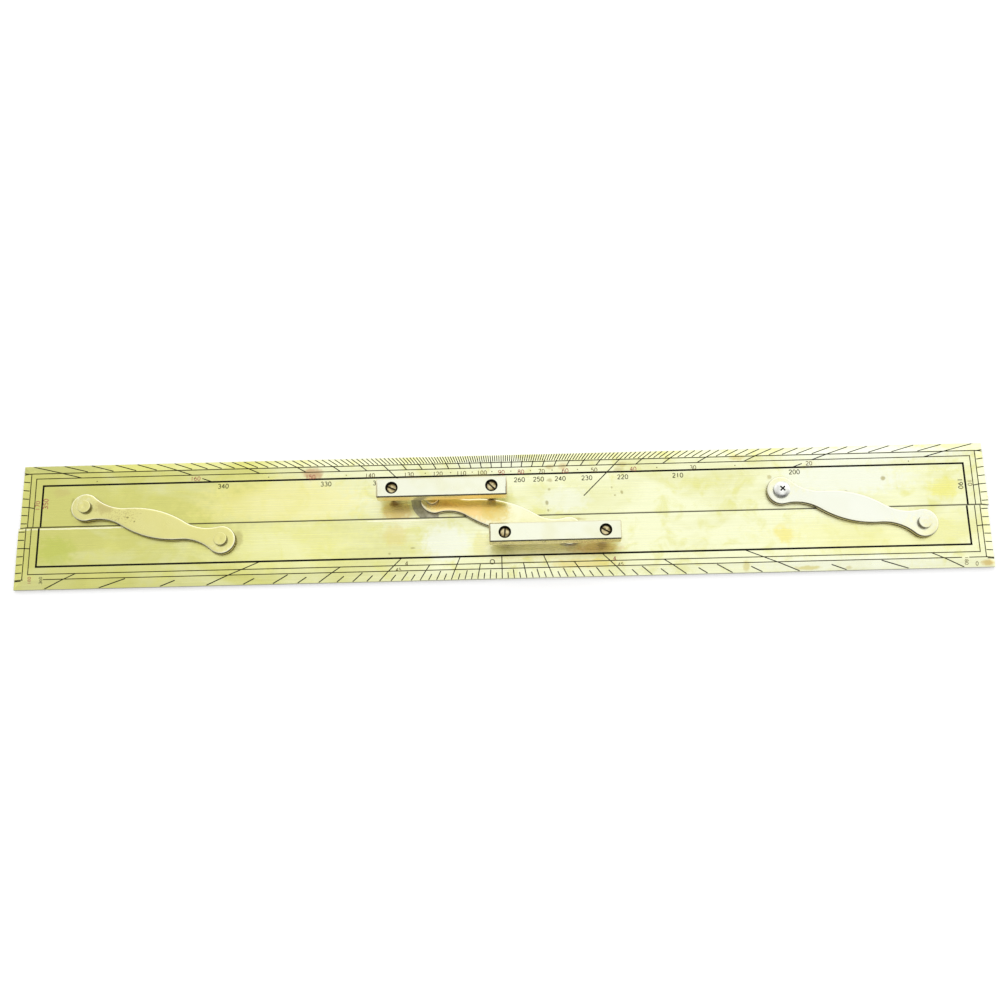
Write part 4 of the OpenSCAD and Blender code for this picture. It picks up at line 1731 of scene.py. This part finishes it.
@dataclass
class ParallelRule:
    """The whole rule: blades, links, pivots and grips, with their finishes."""

    links: tuple[Link, ...] = tuple(
        Link(f"{place}_link", upper_pivot=f"{place}_link_upper_{kind}",
             lower_pivot=f"{place}_link_lower_pin", end_shift=shift)
        for place, kind, shift in (("left", "pin", 0.0), ("middle", "pin", 1.2),
                                   ("right", "screw", 0.0)))
    bars: tuple[GripBar, ...] = tuple(
        GripBar(f"{place}_grip_bar", left_pillar=f"{place}_left_pillar",
                right_pillar=f"{place}_right_pillar")
        for place in ("upper", "lower"))
    # How far below a link's middle the painted dark line of shade along its eased edge sets in
    line_drop: Span = (0.7, 0.2)
    # Heads of the grip screws: between which distances the rim darkens with painted shade, and
    # how far below the top the painted shade begins
    head_rim: Span = (1.6, 2.1)
    head_clean: float = 0.05
    # The steel screw: reach of its cross recess and radius of its crown
    cross_reach: float = 1.6
    crown_r: float = 5.563

    def dress_blades(self) -> None:
        """Finishes both blades and fills their engraving."""
        finishes = {
            Wax.BLACK: EngraversWax("black_engraving_wax", "#0d0b04", "#2c270f", (0.55, 0.9),
                                    stains=WAX_STAINS),
            Wax.DARK: EngraversWax("dark_engraving_wax", "#2e2a10", "#625c2c"),
            Wax.WORN: EngraversWax("worn_engraving_wax", "#6a5c33", "#9a8f58"),
            Wax.RED: EngraversWax("red_engraving_wax", "#a8564a", "#c79c82"),
        }
        waxes = {wax: finish.build() for wax, finish in finishes.items()}
        upper = UpperBlade()
        brass = BrushedBrass("lacquered_brushed_brass_upper", seam_y=float(upper.seam_y),
                             stains=UPPER_STAINS_AND_PAINTED_LIGHT)
        upper.dress(brass.build(), waxes)
        brass = BrushedBrass("lacquered_brushed_brass_lower", stains=LOWER_STAINS_AND_PAINTED_LIGHT)
        LowerBlade().dress(brass.build(), waxes)

    def dress_links(self) -> None:
        """Makes the three links and the five brass pins."""
        # Links: tan sides, oxide and painted shade; pale edges, wear and painted highlight; a
        # painted dark line of shade along the eased edges; near black undersides, oxide and painted
        # shade
        low, high = (seat("middle_link").centre[2] - drop for drop in self.line_drop)
        brass = PolishedBrass("polished_cast_brass_links", tarnish="#d2b66c", side_share=0.6,
                              edge="#f9f6da", line=("#33270a", low, high),
                              stains=LINK_STAINS_AND_SHEEN).build()
        # Pins: dark sides and undersides, painted shade, and fainter pale edges
        pin_brass = PolishedBrass("turned_brass_pins", "#eeecc6", "#e6e1ae", "#3c2d08", 0.92,
                                  edge_share=0.3, stains=LINK_PATINA_AND_SHEEN).build()
        for link in self.links:
            link.dress("eased", "link_brass", brass)
            for pivot in (link.upper_pivot, link.lower_pivot):
                if pivot.endswith("pin"):
                    Pin(pivot).dress("turned", "link_brass", pin_brass)

    def dress_grips(self) -> None:
        """Makes the two bars and the four pillars."""
        # Grips: gold sides and a pale underside, painted light; tan edges, painted shade along the
        # chamfers; dark lines along the ends
        brass = PolishedBrass("polished_drawn_brass_grips", "#e7e9d4", "#e3e4c6", "#f1dfa0", 0.9,
                              "#d8c88c", 0.4, "#fbf3d0", upright=(0.08, 0.36),
                              stains=BAR_END_LINES).build()
        # Pillars, standing in the shade under the bars: darker brass with dark sides, painted shade
        dull = PolishedBrass("turned_brass_pillars", "#dccf8a", "#cdb96c", "#7a5f26", 0.8).build()
        # Counterbores near black all over: painted shade
        dirt = PolishedBrass("brass_counterbores_in_painted_shade", "#2a2310", "#1d180b", "#1d180b",
                             rough=(0.55, 0.75)).build()
        for bar in self.bars:
            bar.dress("eased", "grip_brass", brass, dirt)
            for pillar in (bar.left_pillar, bar.right_pillar):
                Pillar(pillar).dress("turned", "grip_brass", dull)

    def finish_rest(self) -> None:
        """Finishes the nodes that keep their own shape: screws and washers."""
        shade_from = seat("upper_left_grip_screw").high[2] - self.head_clean
        corners = ("upper_left", "upper_right", "lower_left", "lower_right")
        # Grip screws: dark sides, slot and rim, painted shade of the counterbore
        finishes: dict[str, Finish] = {
            screw: PolishedBrass(f"turned_brass_{screw}", "#d2c598", "#7f6e44", "#20180a", 0.95,
                                 patch_mm=1.8, dark_below=shade_from, rim=(screw, *self.head_rim))
            for screw in (f"{corner}_grip_screw" for corner in corners)}
        cross = "right_link_upper_screw"
        # The steel screw: near black sides and cross recess, painted shade
        finishes |= {
            cross: PlainSteel("zinc_plated_steel_screw",
                              recess=(cross, self.cross_reach, self.crown_r)),
            "middle_link_upper_washer": PlainSteel("worn_bare_steel_washer", "#b4b29e", "#8f8d78",
                                                   rough=(0.28, 0.42)),
            "washer": PolishedBrass("stamped_brass_washers", "#cfc27c", "#b7a35c", "#5c4d20", 0.7),
        }
        built = {key: finish.build() for key, finish in finishes.items()}
        for node in frame["nodes"]:
            key = next((key for key in built if key in node), None)
            if key:
                cover(node, built[key])

    def build(self) -> None:
        """Makes every piece and gives every node its finish."""
        self.dress_blades()
        self.dress_links()
        self.dress_grips()
        self.finish_rest()


def main() -> None:
    """Builds the stage and the rule."""
    logging.basicConfig(level=logging.INFO, format="%(name)s: %(message)s")
    Studio().build()
    ParallelRule().build()


if __name__ == "__main__":
    main()
